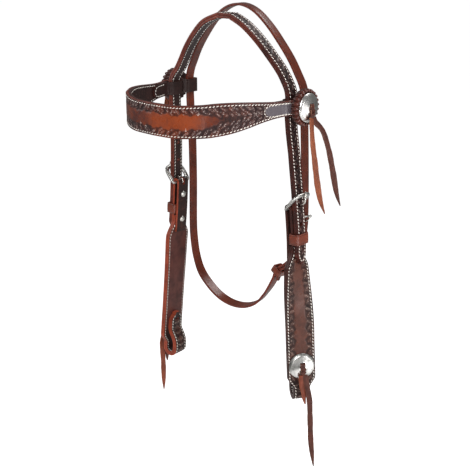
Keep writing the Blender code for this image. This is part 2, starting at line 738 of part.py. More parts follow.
def make_tongue(name, frame, hook_radius, radius, places, material):
    """A wire tongue: an open hook round the bar, then a shaft through the given (out, up) places."""
    route = []
    for k in range(9):
        angle = math.radians(-60 - 30 * k)
        route.append(Vector((hook_radius * math.cos(angle), 0, hook_radius * math.sin(angle))))
    shaft = smooth_route([route[-1], *[Vector((out, 0, up)) for out, up in places]], radius * 2.2)
    route += shaft[1:]
    radii = [radius] * len(route)
    radii[-1] = radius * tongue_tip_share
    work = bmesh.new()
    skin_rings(work, tube_rings(route, radii, False, 8, 1.0, Vector((0, 1, 0))))
    return finish_mesh(name, work, material, frame, smooth=True)


def frame_reach(bar_to_face, rise, apex_gap, side_radius):
    """How far out the top of the frame stands from its bar, and its lean and length."""
    out = bar_to_face + apex_gap + side_radius
    return out, math.atan2(out, rise), math.hypot(out, rise)


def tongue_places(bar_to_centre, half_strap, apex_out, apex_up, side_radius, radius, hook, overhang):
    """(out, up) places of the shaft: through the hole square to the strap, then over the frame."""
    hole_up = hook + radius
    over = apex_out + side_radius * FRAME_THICKNESS_SHARE + LIE_GAP + radius
    leave_out, leave_up, rise_up = (share * radius for share in tongue_rise_shares)
    start_over, on_top, past_top = (share * radius for share in tongue_over_shares)
    return [
        (bar_to_centre - half_strap - radius, hole_up),
        (bar_to_centre, hole_up),
        (bar_to_centre + half_strap + leave_out, hole_up + leave_up),
        (over - start_over, hole_up + rise_up),
        (over + on_top, apex_up - radius),
        (over + past_top, apex_up + overhang),
    ]


def make_cheek_buckle(label, side, materials):
    pivot = side_frame(side, BAR_DROP, BAR_OUT)
    to_centre = -BAR_OUT
    out, lean, length = frame_reach(to_centre + BILLET_FACE, FRAME_APEX_RISE, FRAME_APEX_GAP, FRAME_RADIUS)
    make_frame(
        f"{label}_buckle_frame", pivot, FRAME_HALF_WIDTH, length, lean, BAR_RADIUS, FRAME_RADIUS,
        materials["silver"],
    )
    places = tongue_places(
        to_centre, BILLET_FACE, out, FRAME_APEX_RISE, FRAME_RADIUS, TONGUE_RADIUS, TONGUE_HOOK_RADIUS,
        TONGUE_OVERHANG,
    )
    make_tongue(
        f"{label}_buckle_tongue", pivot, TONGUE_HOOK_RADIUS, TONGUE_RADIUS, places, materials["steel"]
    )


# Keepers and screws
def make_keeper(name, frame, low_out, high_out, half_width, wall, height, material):
    """A leather band round the strap: its cell runs from low_out to high_out and half_width each way."""
    inner_corner, outer_corner = (wall * share for share in keeper_corner_shares)
    work = bmesh.new()
    outlines = []
    for grow, round_off in ((0.0, inner_corner), (wall, outer_corner)):
        left, right = low_out - grow, high_out + grow
        wide = half_width + grow
        outline = []
        corners = ((right, wide, 0), (left, wide, 90), (left, -wide, 180), (right, -wide, 270))
        for cx, cy, start in corners:
            mx = cx - math.copysign(round_off, cx - (left + right) / 2)
            my = cy - math.copysign(round_off, cy)
            for k in range(3):
                angle = math.radians(start + 45 * k)
                outline.append((mx + round_off * math.cos(angle), my + round_off * math.sin(angle)))
        outlines.append(outline)
    rings = []
    for inner, outer in zip(*outlines):
        rings.append([
            Vector((inner[0], inner[1], -height / 2)), Vector((outer[0], outer[1], -height / 2)),
            Vector((outer[0], outer[1], height / 2)), Vector((inner[0], inner[1], height / 2)),
        ])
    skin_rings(work, rings, True)
    return finish_mesh(name, work, material, frame)


def make_cheek_keeper(label, side, materials):
    frame = side_frame(side, KEEPER_DROP, 0.0)
    low = TOP_PLY_OUT - PLY / 2 - SLIP_GAP
    high = BILLET_FACE + SLIP_GAP
    make_keeper(
        f"{label}_cheek_keeper", frame, low, high, CHEEK_TOP_WIDTH / 2 + SLIP_GAP, KEEPER_LEATHER,
        KEEPER_HEIGHT, materials["strap"],
    )


def add_headed_post(work, frame, post_radius, head_radius, head_height, head_face, post_end):
    """A post along local X from a domed head; the head's flat face is at head_face."""
    sides = 12
    profile = [(head_face - head_height * h, head_radius * r) for h, r in head_profile_shares]
    profile += [(head_face, head_radius), (head_face, post_radius), (post_end, post_radius)]
    rings = []
    for x, radius in profile:
        turns = [2 * math.pi * k / sides for k in range(sides)]
        rings.append([frame @ Vector((x, radius * math.cos(a), radius * math.sin(a))) for a in turns])
    skin_rings(work, rings)


def make_cheek_screws(label, side, materials):
    for place, drop in zip(("upper", "lower"), SCREW_DROPS):
        work = bmesh.new()
        face = TAIL_OUT - PLY / 2 - LIE_GAP
        flush = TOP_PLY_OUT + PLY / 2
        add_headed_post(
            work, Matrix.Identity(4), SCREW_POST_RADIUS, SCREW_HEAD_RADIUS, SCREW_HEAD_HEIGHT, face, flush
        )
        finish_mesh(f"{label}_{place}_cheek_screw", work, materials["steel"], side_frame(side, drop, 0.0))


# Throatlatch
def throat_point(out, drop, behind=THROAT_BEHIND_CROWN):
    return Vector((out, CROWN_BACKSET + behind, ROSETTE_LEVEL - drop))


def throat_lying_point(row):
    """A point of the billet where it lies on the lower strap, between its buckle and its tip."""
    out = THROAT_KEEPER_OUT + (THROAT_BUCKLE_OUT - THROAT_KEEPER_OUT) * row[0]
    drop = THROAT_BUCKLE_DROP + (THROAT_KEEPER_DROP - THROAT_BUCKLE_DROP) * row[1]
    back = THROAT_BUCKLE_BACK * (1 - (1 - throat_keeper_back_share) * row[1])
    return throat_point(out, drop, THROAT_BEHIND_CROWN + back)


def shifted_route(route, shift):
    """The route moved sideways, towards the head where the shift is negative."""
    axes = cross_section_axes(route, [Vector((0, 1, 0))] * len(route))
    return [point + shift * through for point, (_, through) in zip(route, axes)]


def throat_lying_route():
    places = [throat_lying_point(row) for row in throat_lying_shares]
    return smooth_route(places, STATION_STEP * lying_step_share)


def throat_buckle_frame():
    """Local X away from the head, local Z up the strap; its origin is the middle of the billet."""
    route = throat_lying_route()
    return rigid_frame(route[0], route[0] - route[1], Vector((1, 0, 0)))


def throat_rivet_frame():
    route = throat_lying_route()
    lengths = along_lengths(route)
    i = next(k for k, length in enumerate(lengths) if length >= THROAT_RIVET_BELOW_BAR)
    return rigid_frame(route[i], route[i - 1] - route[i + 1], Vector((1, 0, 0)))


def throat_keeper_frame():
    rows = throat_lying_shares
    here = throat_lying_point(rows[-2])
    up = throat_lying_point(rows[-3]) - throat_lying_point(rows[-1])
    return rigid_frame(here, up, Vector((1, 0, 0)))


def throat_layers():
    """Out places of the lower strap, the bar and the turned-back tail, from the billet's middle."""
    lower = -(PLY + SLIP_GAP)
    bar = lower - PLY / 2 - LIE_GAP - THROAT_BAR_RADIUS
    fold = THROAT_BAR_RADIUS + LIE_GAP + PLY / 2
    return lower, bar, fold


def along_lengths(route):
    lengths = [0.0]
    for before, after in zip(route, route[1:]):
        lengths.append(lengths[-1] + (after - before).length)
    return lengths


def throat_route():
    """One strap: tail, fold, down under the throat, over the poll and down to the billet's tip."""
    lower, bar, fold = throat_layers()
    frame = throat_buckle_frame()
    lying = throat_lying_route()
    inner = shifted_route(lying, bar - fold)
    tail = [p for p, length in zip(inner, along_lengths(inner)) if 0 < length <= THROAT_TAIL]
    turns = [math.radians(180 - 20 * k) for k in range(10)]
    fold_points = [frame @ Vector((bar + fold * math.cos(a), 0, fold * math.sin(a))) for a in turns]
    keeper = throat_keeper_frame().translation
    down = [p for p, q in zip(shifted_route(lying, lower), lying) if q.z >= keeper.z][1:]
    loop = []
    for x, z in throat_loop_shares:
        back = THROAT_BUCKLE_BACK * throat_keeper_back_share * ease(x / throat_loop_shares[-1][0])
        behind = THROAT_BEHIND_CROWN + back
        loop.append(throat_point(THROAT_HALF_SPAN * x, THROAT_DROP * z, behind))
    under = smooth_route([down[-2], down[-1], *reversed(loop)], STATION_STEP)
    under = under[next(i for i, p in enumerate(under) if p == down[-1]) + 1 :]
    arch = []
    for x, z in throat_arch_shares:
        forward = THROAT_BEHIND_CROWN - (THROAT_BEHIND_AT_POLL - CROWN_BACKSET)
        behind = THROAT_BEHIND_CROWN - forward * ease(z)
        arch.append(throat_point(THROAT_HALF_SPAN * x, -THROAT_RISE * z, behind))
    far_arch = [Vector((-p.x, p.y, p.z)) for p in arch[1:]]
    out = THROAT_BUCKLE_OUT - THROAT_HALF_SPAN
    to_buckle = []
    for share, drop_share in to_throat_buckle_shares:
        back = THROAT_BEHIND_CROWN + THROAT_BUCKLE_BACK * share
        drop = THROAT_BUCKLE_DROP * drop_share
        to_buckle.append(throat_point(THROAT_HALF_SPAN + out * share, drop, back))
    over = smooth_route([loop[0], *far_arch, *reversed(arch), *to_buckle, lying[0]], STATION_STEP)
    return list(reversed(tail)) + fold_points + down + under + over[1:-1] + lying


def throat_stations():
    route = throat_route()
    tilt = Vector((0, 1, throat_cap_lean))
    cap = ROSETTE_LEVEL - THROAT_DROP * throat_cap_share
    hints = [tilt if p.z < cap else Vector((0, 1, 0)) for p in route]
    lengths = along_lengths(route)
    bar_axis = throat_buckle_frame().to_3x3() @ Vector((0, 1, 0))
    fold_end = THROAT_TAIL + math.pi * throat_layers()[2]
    hints = [bar_axis if length < fold_end else hint for hint, length in zip(hints, lengths)]
    stations = []
    for i, (across, through) in enumerate(cross_section_axes(route, hints)):
        half = pointed(THROAT_WIDTH / 2, lengths[-1] - lengths[i], BILLET_POINT)
        stations.append((route[i], across, through, half))
    return stations


def make_throatlatch(materials):
    strap = make_strap("throatlatch_strap", throat_stations(), 0.0, PLY, materials["strap"])
    lower, bar, fold = throat_layers()
    frame = throat_buckle_frame()
    hook = THROAT_BAR_RADIUS + LIE_GAP + THROAT_TONGUE_RADIUS
    hole_up = hook + THROAT_TONGUE_RADIUS
    work = bmesh.new()
    for k in range(-1, 3):
        reach = PLY / 2 + SLIP_GAP / 2
        place = frame @ Matrix.Translation((0, 0, hole_up - k * THROAT_HOLE_PITCH))
        add_round(work, place, THROAT_HOLE / 2, -reach, PLY, 12)
    cut(strap, cutter("throat_hole_punch", work))
    work = bmesh.new()
    half = THROAT_TONGUE_RADIUS + LIE_GAP * 2
    add_box(
        work, frame @ Matrix.Translation((bar, 0, 0)), (-fold - PLY, -half, -fold - PLY / 2),
        (fold + PLY / 2 + SLIP_GAP / 2, half, fold + PLY),
    )
    cut(strap, cutter("throat_fold_slot", work))
    work = bmesh.new()
    place = throat_rivet_frame()
    low, high = bar - fold - PLY - CUT_OVERRUN, lower + PLY / 2 + SLIP_GAP / 2
    add_round(work, place, RIVET_POST_RADIUS + LIE_GAP, low, high, 12)
    cut(strap, cutter("throat_rivet_hole", work))
    work = bmesh.new()
    add_headed_post(
        work, place, RIVET_POST_RADIUS, RIVET_HEAD_RADIUS, RIVET_HEAD_HEIGHT,
        bar - fold - PLY / 2 - LIE_GAP, lower + PLY / 2,
    )
    finish_mesh("throatlatch_rivet", work, materials["steel"])


def make_throat_hardware(materials):
    lower, bar, fold = throat_layers()
    frame = throat_buckle_frame()
    pivot = frame @ Matrix.Translation((bar, 0, 0))
    hook = THROAT_BAR_RADIUS + LIE_GAP + THROAT_TONGUE_RADIUS
    out, lean, length = frame_reach(-bar + PLY / 2, THROAT_FRAME_RISE, FRAME_APEX_GAP, THROAT_BAR_RADIUS)
    make_frame(
        "throatlatch_buckle_frame", pivot, THROAT_FRAME_HALF_WIDTH, length, lean, THROAT_BAR_RADIUS,
        THROAT_BAR_RADIUS, materials["silver"],
    )
    places = tongue_places(
        -bar, PLY / 2, out, THROAT_FRAME_RISE, THROAT_BAR_RADIUS, THROAT_TONGUE_RADIUS, hook,
        TONGUE_OVERHANG * throat_overhang_share,
    )
    make_tongue("throatlatch_buckle_tongue", pivot, hook, THROAT_TONGUE_RADIUS, places, materials["steel"])
    make_keeper(
        "throatlatch_keeper", throat_keeper_frame(), lower - PLY / 2 - THROAT_KEEPER_SLACK,
        PLY / 2 + THROAT_KEEPER_SLACK, THROAT_WIDTH / 2 + SLIP_GAP, KEEPER_LEATHER, THROAT_KEEPER_HEIGHT,
        materials["strap"],
    )


# Browband
def browband_level(reach_share):
    return ROSETTE_LEVEL - BROWBAND_DIP * reach_share**2


def browband_half_route():
    """From the end under the near rosette to the middle of the forehead."""
    rear = CROWN_BACKSET
    half = []
    for x_share, reach_share in browband_plan_shares:
        half.append(Vector((
            BROWBAND_HALF_SPAN * x_share, rear - BROWBAND_REACH * reach_share, browband_level(reach_share)
        )))
    end_x = CROWN_HALF_SPAN + BROWBAND_OUT
    backs = (BROWBAND_PAST_CROWN, 0.0, -CROWN_WIDTH / 2)
    ends = [Vector((end_x, rear + back, ROSETTE_LEVEL)) for back in backs]
    return smooth_route([*ends, *half], STATION_STEP)


def browband_stations():
    near = browband_half_route()
    route = near + [Vector((-p.x, p.y, p.z)) for p in reversed(near[:-1])]
    axes = cross_section_axes(route, [Vector((0, 0, 1))] * len(route))
    stations = []
    for point, (across, through) in zip(route, axes):
        forward = (CROWN_BACKSET - CROWN_WIDTH - point.y) / BROWBAND_REACH
        widened = ease(forward / browband_taper_share)
        width = BROWBAND_END_WIDTH + (BROWBAND_WIDTH - BROWBAND_END_WIDTH) * widened
        stations.append((point, across, through, width / 2))
    return stations


def rosette_frame(side, out):
    """The frame of the pieces stacked on the browband's end."""
    centre = Vector((side * (CROWN_HALF_SPAN + out), CROWN_BACKSET + ROSETTE_BACK[side], ROSETTE_LEVEL))
    return rigid_frame(centre, Vector((0, 0, 1)), Vector((side, 0, 0)))


def make_browband(materials):
    stations = browband_stations()
    offset = (PLY + LIE_GAP) / 2
    outer = make_strap("browband_outer", stations, -offset, PLY, materials["tooled"])
    lining = make_strap("browband_lining", stations, offset, PLY, materials["lining"])
    for label, side in SIDES:
        hole = lace_hole_cutter(f"{label}_browband_lace_hole", rosette_frame(side, BROWBAND_OUT), STRAP)
        cut(outer, hole)
        cut(lining, hole)


def browband_loop_route():
    """A strip stitched inside the browband's end and turned back round crown strap and throatlatch.

    Between the two straps it is pinched to its own outer side, so that each strap has its own loop.
    """
    route = browband_half_route()
    axes = cross_section_axes(route, [Vector((0, 0, 1))] * len(route))
    inset = STRAP / 2 + LIE_GAP + LOOP_LEATHER / 2
    front = -CROWN_WIDTH / 2
    turn_start = CROWN_BACKSET + front - LOOP_OUT * loop_lead_share
    tail_start = CROWN_BACKSET + front - LOOP_TAIL
    tail = [
        point + inset * through for point, (_, through) in zip(route, axes)
        if tail_start < point.y < turn_start
    ]
    pinch = LOOP_OUT - LOOP_LEATHER - LOOP_PINCH_GAP
    throat_in = THROAT_HALF_SPAN - CROWN_HALF_SPAN - PLY / 2 - THROAT_LOOP_SLACK - LOOP_LEATHER / 2
    crown_end = CROWN_WIDTH / 2 + SLIP_GAP
    throat_front = THROAT_BEHIND_CROWN - THROAT_WIDTH / 2 - THROAT_LOOP_SLACK
    throat_end = THROAT_BEHIND_CROWN + THROAT_WIDTH / 2 + THROAT_LOOP_SLACK
    middle = (crown_end + throat_front) / 2
    bend = LOOP_LEATHER
    corner = {"front": front, "crown": crown_end}
    places = [(0.0, front - LOOP_OUT * loop_nose_share)]
    places += [(LOOP_OUT * out, corner[name] + bend * back) for out, name, back in crown_loop_shares]
    places += [(pinch * out, middle + bend * back) for out, back in pinch_shares]
    last_out, _, last_back = crown_loop_shares[-1]
    places.append((LOOP_OUT * last_out, throat_front - bend * last_back))
    places += [(throat_in * out, throat_front + bend * back) for out, back in throat_turn_shares]
    places.append((throat_in, throat_end))
    radius = (LOOP_OUT - throat_in) / 2
    for k in range(1, 8):
        angle = math.pi - math.pi * k / 7
        places.append((LOOP_OUT - radius + radius * math.cos(angle), throat_end + radius * math.sin(angle)))
    places += [(LOOP_OUT, throat_front), (LOOP_OUT, crown_end), (LOOP_OUT, front / 2)]
    turned = [
        Vector((CROWN_HALF_SPAN + out, CROWN_BACKSET + back, ROSETTE_LEVEL)) for out, back in places
    ]
    return list(reversed(tail)) + turned


def make_browband_loop(label, side, materials):
    route = [Vector((side * p.x, p.y, p.z)) for p in browband_loop_route()]
    stations = []
    axes = cross_section_axes(route, [Vector((0, 0, 1))] * len(route))
    for point, (across, through) in zip(route, axes):
        stations.append((point, across, through, BROWBAND_END_WIDTH / 2))
    loop = make_strap(f"{label}_browband_loop", stations, 0.0, LOOP_LEATHER, materials["lining"])
    hole = lace_hole_cutter(f"{label}_loop_lace_hole", rosette_frame(side, LOOP_OUT), LOOP_LEATHER)
    cut(loop, hole)


# Rosettes, conchos and laces
def make_rosette(label, side, materials):
    """A leather disc with a beaded rim."""
    frame = rosette_frame(side, BROWBAND_FACE + LIE_GAP)
    per_bead = 3
    count = ROSETTE_BEADS * per_bead
    work = bmesh.new()
    rings = []
    for height_share, radius_share in rosette_profile_shares:
        ring = []
        for k in range(count):
            dip = 0.0 if k % per_bead else rosette_bead_share
            radius = ROSETTE_RADIUS * (radius_share - dip)
            angle = 2 * math.pi * k / count
            ring.append(Vector((
                ROSETTE_THICKNESS * height_share, radius * math.cos(angle), radius * math.sin(angle)
            )))
        rings.append(ring)
    skin_rings(work, rings)
    rosette = finish_mesh(f"{label}_rosette", work, materials["tooled"], frame)
    cut(rosette, lace_hole_cutter(f"{label}_rosette_lace_hole", frame, ROSETTE_THICKNESS * 2))


def make_concho(name, frame, material):
    """A domed disc with a slot for the lace, hollow behind."""
    sides = 22
    turns = [2 * math.pi * k / sides for k in range(sides)]
    under = CONCHO_DOME - CONCHO_RIM
    outside = [(CONCHO_RADIUS * r, CONCHO_RIM + CONCHO_DOME * h) for r, h in concho_profile_shares]
    inside = [((CONCHO_RADIUS - CONCHO_METAL) * r, under * h) for r, h in concho_profile_shares]
    work = bmesh.new()
    rows = []
    for radius, height in [*reversed(inside), (CONCHO_RADIUS, 0.0), *outside]:
        rows.append([
            work.verts.new(Vector((height, radius * math.cos(a), radius * math.sin(a)))) for a in turns
        ])
    for near_row, far_row in zip(rows, rows[1:]):
        for k in range(sides):
            after = (k + 1) % sides
            work.faces.new((near_row[k], near_row[after], far_row[after], far_row[k]))
    for row, height in ((rows[0], under), (rows[-1], CONCHO_TOP)):
        centre = work.verts.new(Vector((height, 0, 0)))
        for k in range(sides):
            work.faces.new((row[k], row[(k + 1) % sides], centre))
    concho = finish_mesh(name, work, material, frame, smooth=True)
    cut(concho, lace_hole_cutter(f"{name}_slot", frame, CONCHO_DOME * 2))


def make_lace(name, frame, places, material):
    """A flat lace through (out, up) places: out of the slot and down over the concho."""
    work = bmesh.new()
    route = [Vector((out, 0, up)) for out, up in places]
    axes = cross_section_axes(route, [Vector((0, 1, 0))] * len(route))
    stations = [(p, a, t, LACE_WIDTH / 2) for p, (a, t) in zip(route, axes)]
    skin_rings(work, strap_rings(stations, 0.0, LACE_THICKNESS))
    finish_mesh(name, work, material, frame)


def lace_places(back_out, face_out):
    """(out, up) of the middle of a lace: inside the slot, out over the dome and down to the knot."""
    over = face_out + LIE_GAP + LACE_THICKNESS / 2
    leave, near, drop, turned = (LACE_THICKNESS * share for share in lace_bend_shares)
    return [
        (back_out, SLOT_OFFSET), (over - leave, SLOT_OFFSET), (over - near, SLOT_OFFSET - drop),
        (over, SLOT_OFFSET - turned), (over, 0.0), (over, -SLOT_OFFSET),
        (over, -SLOT_OFFSET - LACE_WIDTH),
    ]


def make_tails(prefix, side, frame, routes, material):
    """The free ends of a lace, hanging from its knot."""
    out_axis = frame.to_3x3() @ Vector((1, 0, 0))
    back_axis = Vector((0, 0, 1)).cross(out_axis) * side
    start = frame @ Vector((TAIL_OUT_AT_KNOT, 0, -SLOT_OFFSET - LACE_WIDTH - LIE_GAP))
    for place, offsets in routes.items():
        points = [start + o * out_axis + b * back_axis - d * Vector((0, 0, 1)) for o, b, d in offsets]
        route = smooth_route(points, LACE_TAIL_STEP)
        curve = bpy.data.curves.new(f"{prefix}_{place}_tail", "CURVE")
        curve.dimensions = "3D"
        curve.bevel_depth = LACE_CORD_RADIUS
        curve.bevel_resolution = 2
        curve.use_fill_caps = True
        spline = curve.splines.new("POLY")
        spline.points.add(len(route) - 1)
        for spot, point in zip(spline.points, route):
            spot.co = (*point, 1.0)
        curve.materials.append(material)
        tail = bpy.data.objects.new(f"{prefix}_{place}_tail", curve)
        bpy.context.scene.collection.objects.link(tail)


def make_rosette_stack(label, side, materials):
    make_rosette(label, side, materials)
    face = BROWBAND_FACE + LIE_GAP + ROSETTE_THICKNESS + LIE_GAP
    frame = rosette_frame(side, face)
    make_concho(f"{label}_rosette_concho", frame, materials["silver"])
    back = LOOP_OUT - LOOP_LEATHER / 2 - face
    make_lace(f"{label}_rosette_lace", frame, lace_places(back, CONCHO_TOP), materials["lace"])
    routes = near_rosette_tail_routes if side > 0 else far_rosette_tail_routes
    make_tails(f"{label}_rosette_lace", side, frame, routes, materials["lace"])


def make_bit_stack(label, side, materials):
    face = CHEEK_OUT + STRAP / 2 + LIE_GAP
    frame = side_frame(side, CONCHO_DROP, face)
    make_concho(f"{label}_bit_concho", frame, materials["silver"])
    back = CHEEK_OUT - STRAP * 1.5 - LIE_GAP - face
    make_lace(f"{label}_bit_lace", frame, lace_places(back, CONCHO_TOP), materials["lace"])
    routes = near_bit_tail_routes if side > 0 else far_bit_tail_routes
    make_tails(f"{label}_bit_lace", side, frame, routes, materials["lace"])


def main():
    clear_scene()
    materials = make_materials()
    make_crown(materials)
    make_throatlatch(materials)
    make_throat_hardware(materials)
    make_browband(materials)
    for label, side in SIDES:
        make_browband_loop(label, side, materials)
        make_rosette_stack(label, side, materials)
        make_cheek(label, side, materials)
        make_cheek_buckle(label, side, materials)
        make_cheek_keeper(label, side, materials)
        make_cheek_screws(label, side, materials)
        make_bit_stack(label, side, materials)
    bpy.context.view_layer.update()


main()
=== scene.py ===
# %% [markdown]
# # A western browband headstall
#
# A headstall is the part of a bridle that holds the bit. This one is cut from harness leather: a crown
# strap over the poll, a tooled browband, two cheeks with buckles and bit loops, a throatlatch, and
# silver conchos tied on with lace leather.
#
# The first cell loads the measured model.

from math import atan2, copysign, cos, degrees, dist, hypot, pi, radians, sin

import bmesh
import bpy
import numpy as np
from mathutils import Matrix, Vector


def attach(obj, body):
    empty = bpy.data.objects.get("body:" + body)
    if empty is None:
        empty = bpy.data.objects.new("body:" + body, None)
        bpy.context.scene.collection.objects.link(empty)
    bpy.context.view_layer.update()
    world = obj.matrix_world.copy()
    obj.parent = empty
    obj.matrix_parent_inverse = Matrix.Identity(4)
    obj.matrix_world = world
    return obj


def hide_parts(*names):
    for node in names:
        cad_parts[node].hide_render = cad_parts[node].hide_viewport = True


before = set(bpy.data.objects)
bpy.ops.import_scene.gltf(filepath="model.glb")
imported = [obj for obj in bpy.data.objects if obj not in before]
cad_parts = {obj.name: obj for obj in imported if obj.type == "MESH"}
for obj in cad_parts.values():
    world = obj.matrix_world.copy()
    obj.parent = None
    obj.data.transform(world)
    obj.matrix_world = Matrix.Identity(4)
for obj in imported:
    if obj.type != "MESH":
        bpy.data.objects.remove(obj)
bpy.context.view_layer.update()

# %% [markdown]
# ## The camera
#
# The camera stands in front of the horse's near side and a little above the browband. It is placed by
# its turn, its height angle and its distance from a point on the line between the two rosettes.

# %% Place the camera
CAMERA_TURN = radians(42.38)
CAMERA_HEIGHT = radians(18.45)
CAMERA_DISTANCE = 1.2033
CAMERA_LENS = 71.29
ROSETTE_LINE = Vector((0, 0.013, -0.09865))
AIM_RIGHT = 0.000763
AIM_DOWN = 0.18075
SENSOR_WIDTH = 36


def place_camera():
    turn, height = CAMERA_TURN, CAMERA_HEIGHT
    right = Vector((cos(turn), sin(turn), 0))
    ahead = Vector((-sin(turn) * cos(height), cos(turn) * cos(height), -sin(height)))
    up = right.cross(ahead)
    aim = ROSETTE_LINE + AIM_RIGHT * right - AIM_DOWN * up
    bpy.ops.object.camera_add(location=aim - CAMERA_DISTANCE * ahead)
    camera = bpy.context.object
    camera.name = "camera"
    camera.data.lens = CAMERA_LENS
    camera.data.sensor_width = SENSOR_WIDTH
    camera.rotation_euler = Matrix((right, up, -ahead)).transposed().to_euler()
    bpy.context.scene.camera = camera
    return camera


camera = place_camera()
print("camera stands at", [round(c, 3) for c in camera.location])

# %% [markdown]
# ## The sizes of the leather
#
# They are the measured model's, in metres, so that each dressed piece lands on its own node.

# %% Sizes of the straps and their hardware
MM = 0.001
LIE_GAP = 0.0003
SLIP_GAP = 0.0005
PLY = 0.0032
CROWN_WIDTH = 0.016
CROWN_HALF_SPAN = 0.1015
CROWN_RISE = 0.102
POLL_FLAT = 0.020
BILLET_DROP = 0.204
BILLET_POINT = 0.013
BILLET_HOLE = 0.0052
BILLET_HOLE_PITCH = 0.025
THROAT_WIDTH = 0.0127
THROAT_HALF_SPAN = 0.1005
THROAT_RISE = 0.1145
THROAT_BEHIND_CROWN = 0.0280
THROAT_BEHIND_AT_POLL = 0.026
THROAT_DROP = 0.301
THROAT_BUCKLE_OUT = 0.097
THROAT_BUCKLE_BACK = 0.010
THROAT_BUCKLE_DROP = 0.160
THROAT_KEEPER_OUT = 0.0615
THROAT_KEEPER_DROP = 0.234
THROAT_TAIL = 0.034
THROAT_HOLE = 0.0044
THROAT_HOLE_PITCH = 0.025
BROWBAND_WIDTH = 0.0385
BROWBAND_END_WIDTH = 0.0178
BROWBAND_HALF_SPAN = 0.106
BROWBAND_REACH = 0.133
BROWBAND_DIP = 0.010
BROWBAND_PAST_CROWN = 0.026
LOOP_LEATHER = 0.0022
LOOP_TAIL = 0.040
LOOP_PINCH_GAP = 0.0009
CHEEK_WIDTH = 0.038
CHEEK_TOP_WIDTH = 0.0184
CHEEK_END_WIDTH = 0.022
CHEEK_DROP = 0.399
BAR_DROP = 0.131
FOLD_TAIL_DROP = 0.204
WIDEN_START = 0.187
WIDEN_END = 0.212
NARROW_START = 0.364
NARROW_END = 0.380
LINING_START = 0.1805
BIT_LOOP_WIDE = 0.011
BIT_TAB_DROP = 0.331
BIT_TAB_POINT = 0.010
CONCHO_DROP = 0.347
TURN_START = 0.180
TURN_END = 0.300
BAR_RADIUS = 0.0019
FRAME_RADIUS = 0.0030
FRAME_HALF_WIDTH = 0.0145
FRAME_APEX_GAP = 0.0014
FRAME_APEX_RISE = 0.0185
TONGUE_RADIUS = 0.0013
TONGUE_OVERHANG = 0.005
KEEPER_HEIGHT = 0.014
KEEPER_LEATHER = 0.0022
KEEPER_DROP = 0.1705
SCREW_DROPS = (0.1485, 0.1850)
SCREW_HEAD_RADIUS = 0.0042
SCREW_HEAD_HEIGHT = 0.0016
THROAT_BAR_RADIUS = 0.0014
THROAT_FRAME_HALF_WIDTH = 0.0098
THROAT_FRAME_RISE = 0.0110
THROAT_TONGUE_RADIUS = 0.0010
THROAT_RIVET_BELOW_BAR = 0.018
THROAT_KEEPER_HEIGHT = 0.009
THROAT_LOOP_SLACK = 0.0010
THROAT_KEEPER_SLACK = 0.0023
THROAT_LEAN = 0.22
RIVET_HEAD_RADIUS = 0.0036
RIVET_HEAD_HEIGHT = 0.0011
ROSETTE_RADIUS = 0.0225
ROSETTE_THICKNESS = 0.0095
ROSETTE_BEADS = 23
CONCHO_RADIUS = 0.0178
CONCHO_DOME = 0.0046
CONCHO_METAL = 0.0012
SLOT_LENGTH = 0.0076
SLOT_HEIGHT = 0.0026
SLOT_OFFSET = 0.0046
LACE_WIDTH = 0.0060
LACE_THICKNESS = 0.0016
STRAP = 2 * PLY + LIE_GAP
PLY_OFFSET = (PLY + LIE_GAP) / 2
PLY_THICK = PLY + 0.0002  # a hair more than the measured ply, so that stitched plies nearly touch
CROWN_TOP = STRAP / 2
ROSETTE_LEVEL = CROWN_TOP - CROWN_RISE
CROWN_BACKSET = CROWN_WIDTH * 0.25
BILLET_FACE = STRAP / 2
CHEEK_OUT = -(STRAP + SLIP_GAP)
TOP_PLY_OUT = CHEEK_OUT + (LIE_GAP + PLY) / 2
BAR_OUT = TOP_PLY_OUT - PLY / 2 - LIE_GAP - BAR_RADIUS
FOLD_RADIUS = BAR_RADIUS + LIE_GAP + PLY / 2
TAIL_OUT = BAR_OUT - FOLD_RADIUS
TONGUE_HOOK_RADIUS = BAR_RADIUS + LIE_GAP + TONGUE_RADIUS
LOOP_OUT = BILLET_FACE + SLIP_GAP + LOOP_LEATHER / 2
BROWBAND_OUT = BILLET_FACE + SLIP_GAP + LOOP_LEATHER + LIE_GAP + STRAP / 2
BROWBAND_FACE = BROWBAND_OUT + STRAP / 2
KNOT_OUT = CONCHO_METAL * 0.6 + CONCHO_DOME + LIE_GAP + LACE_THICKNESS
SIDES = (("near", 1), ("far", -1))
TURN = {1: radians(34), -1: radians(4)}
ROSETTE_BACK = {1: 0.0045, -1: 0.018}
print("two stitched plies are", round(STRAP * 1000, 1), "mm thick")

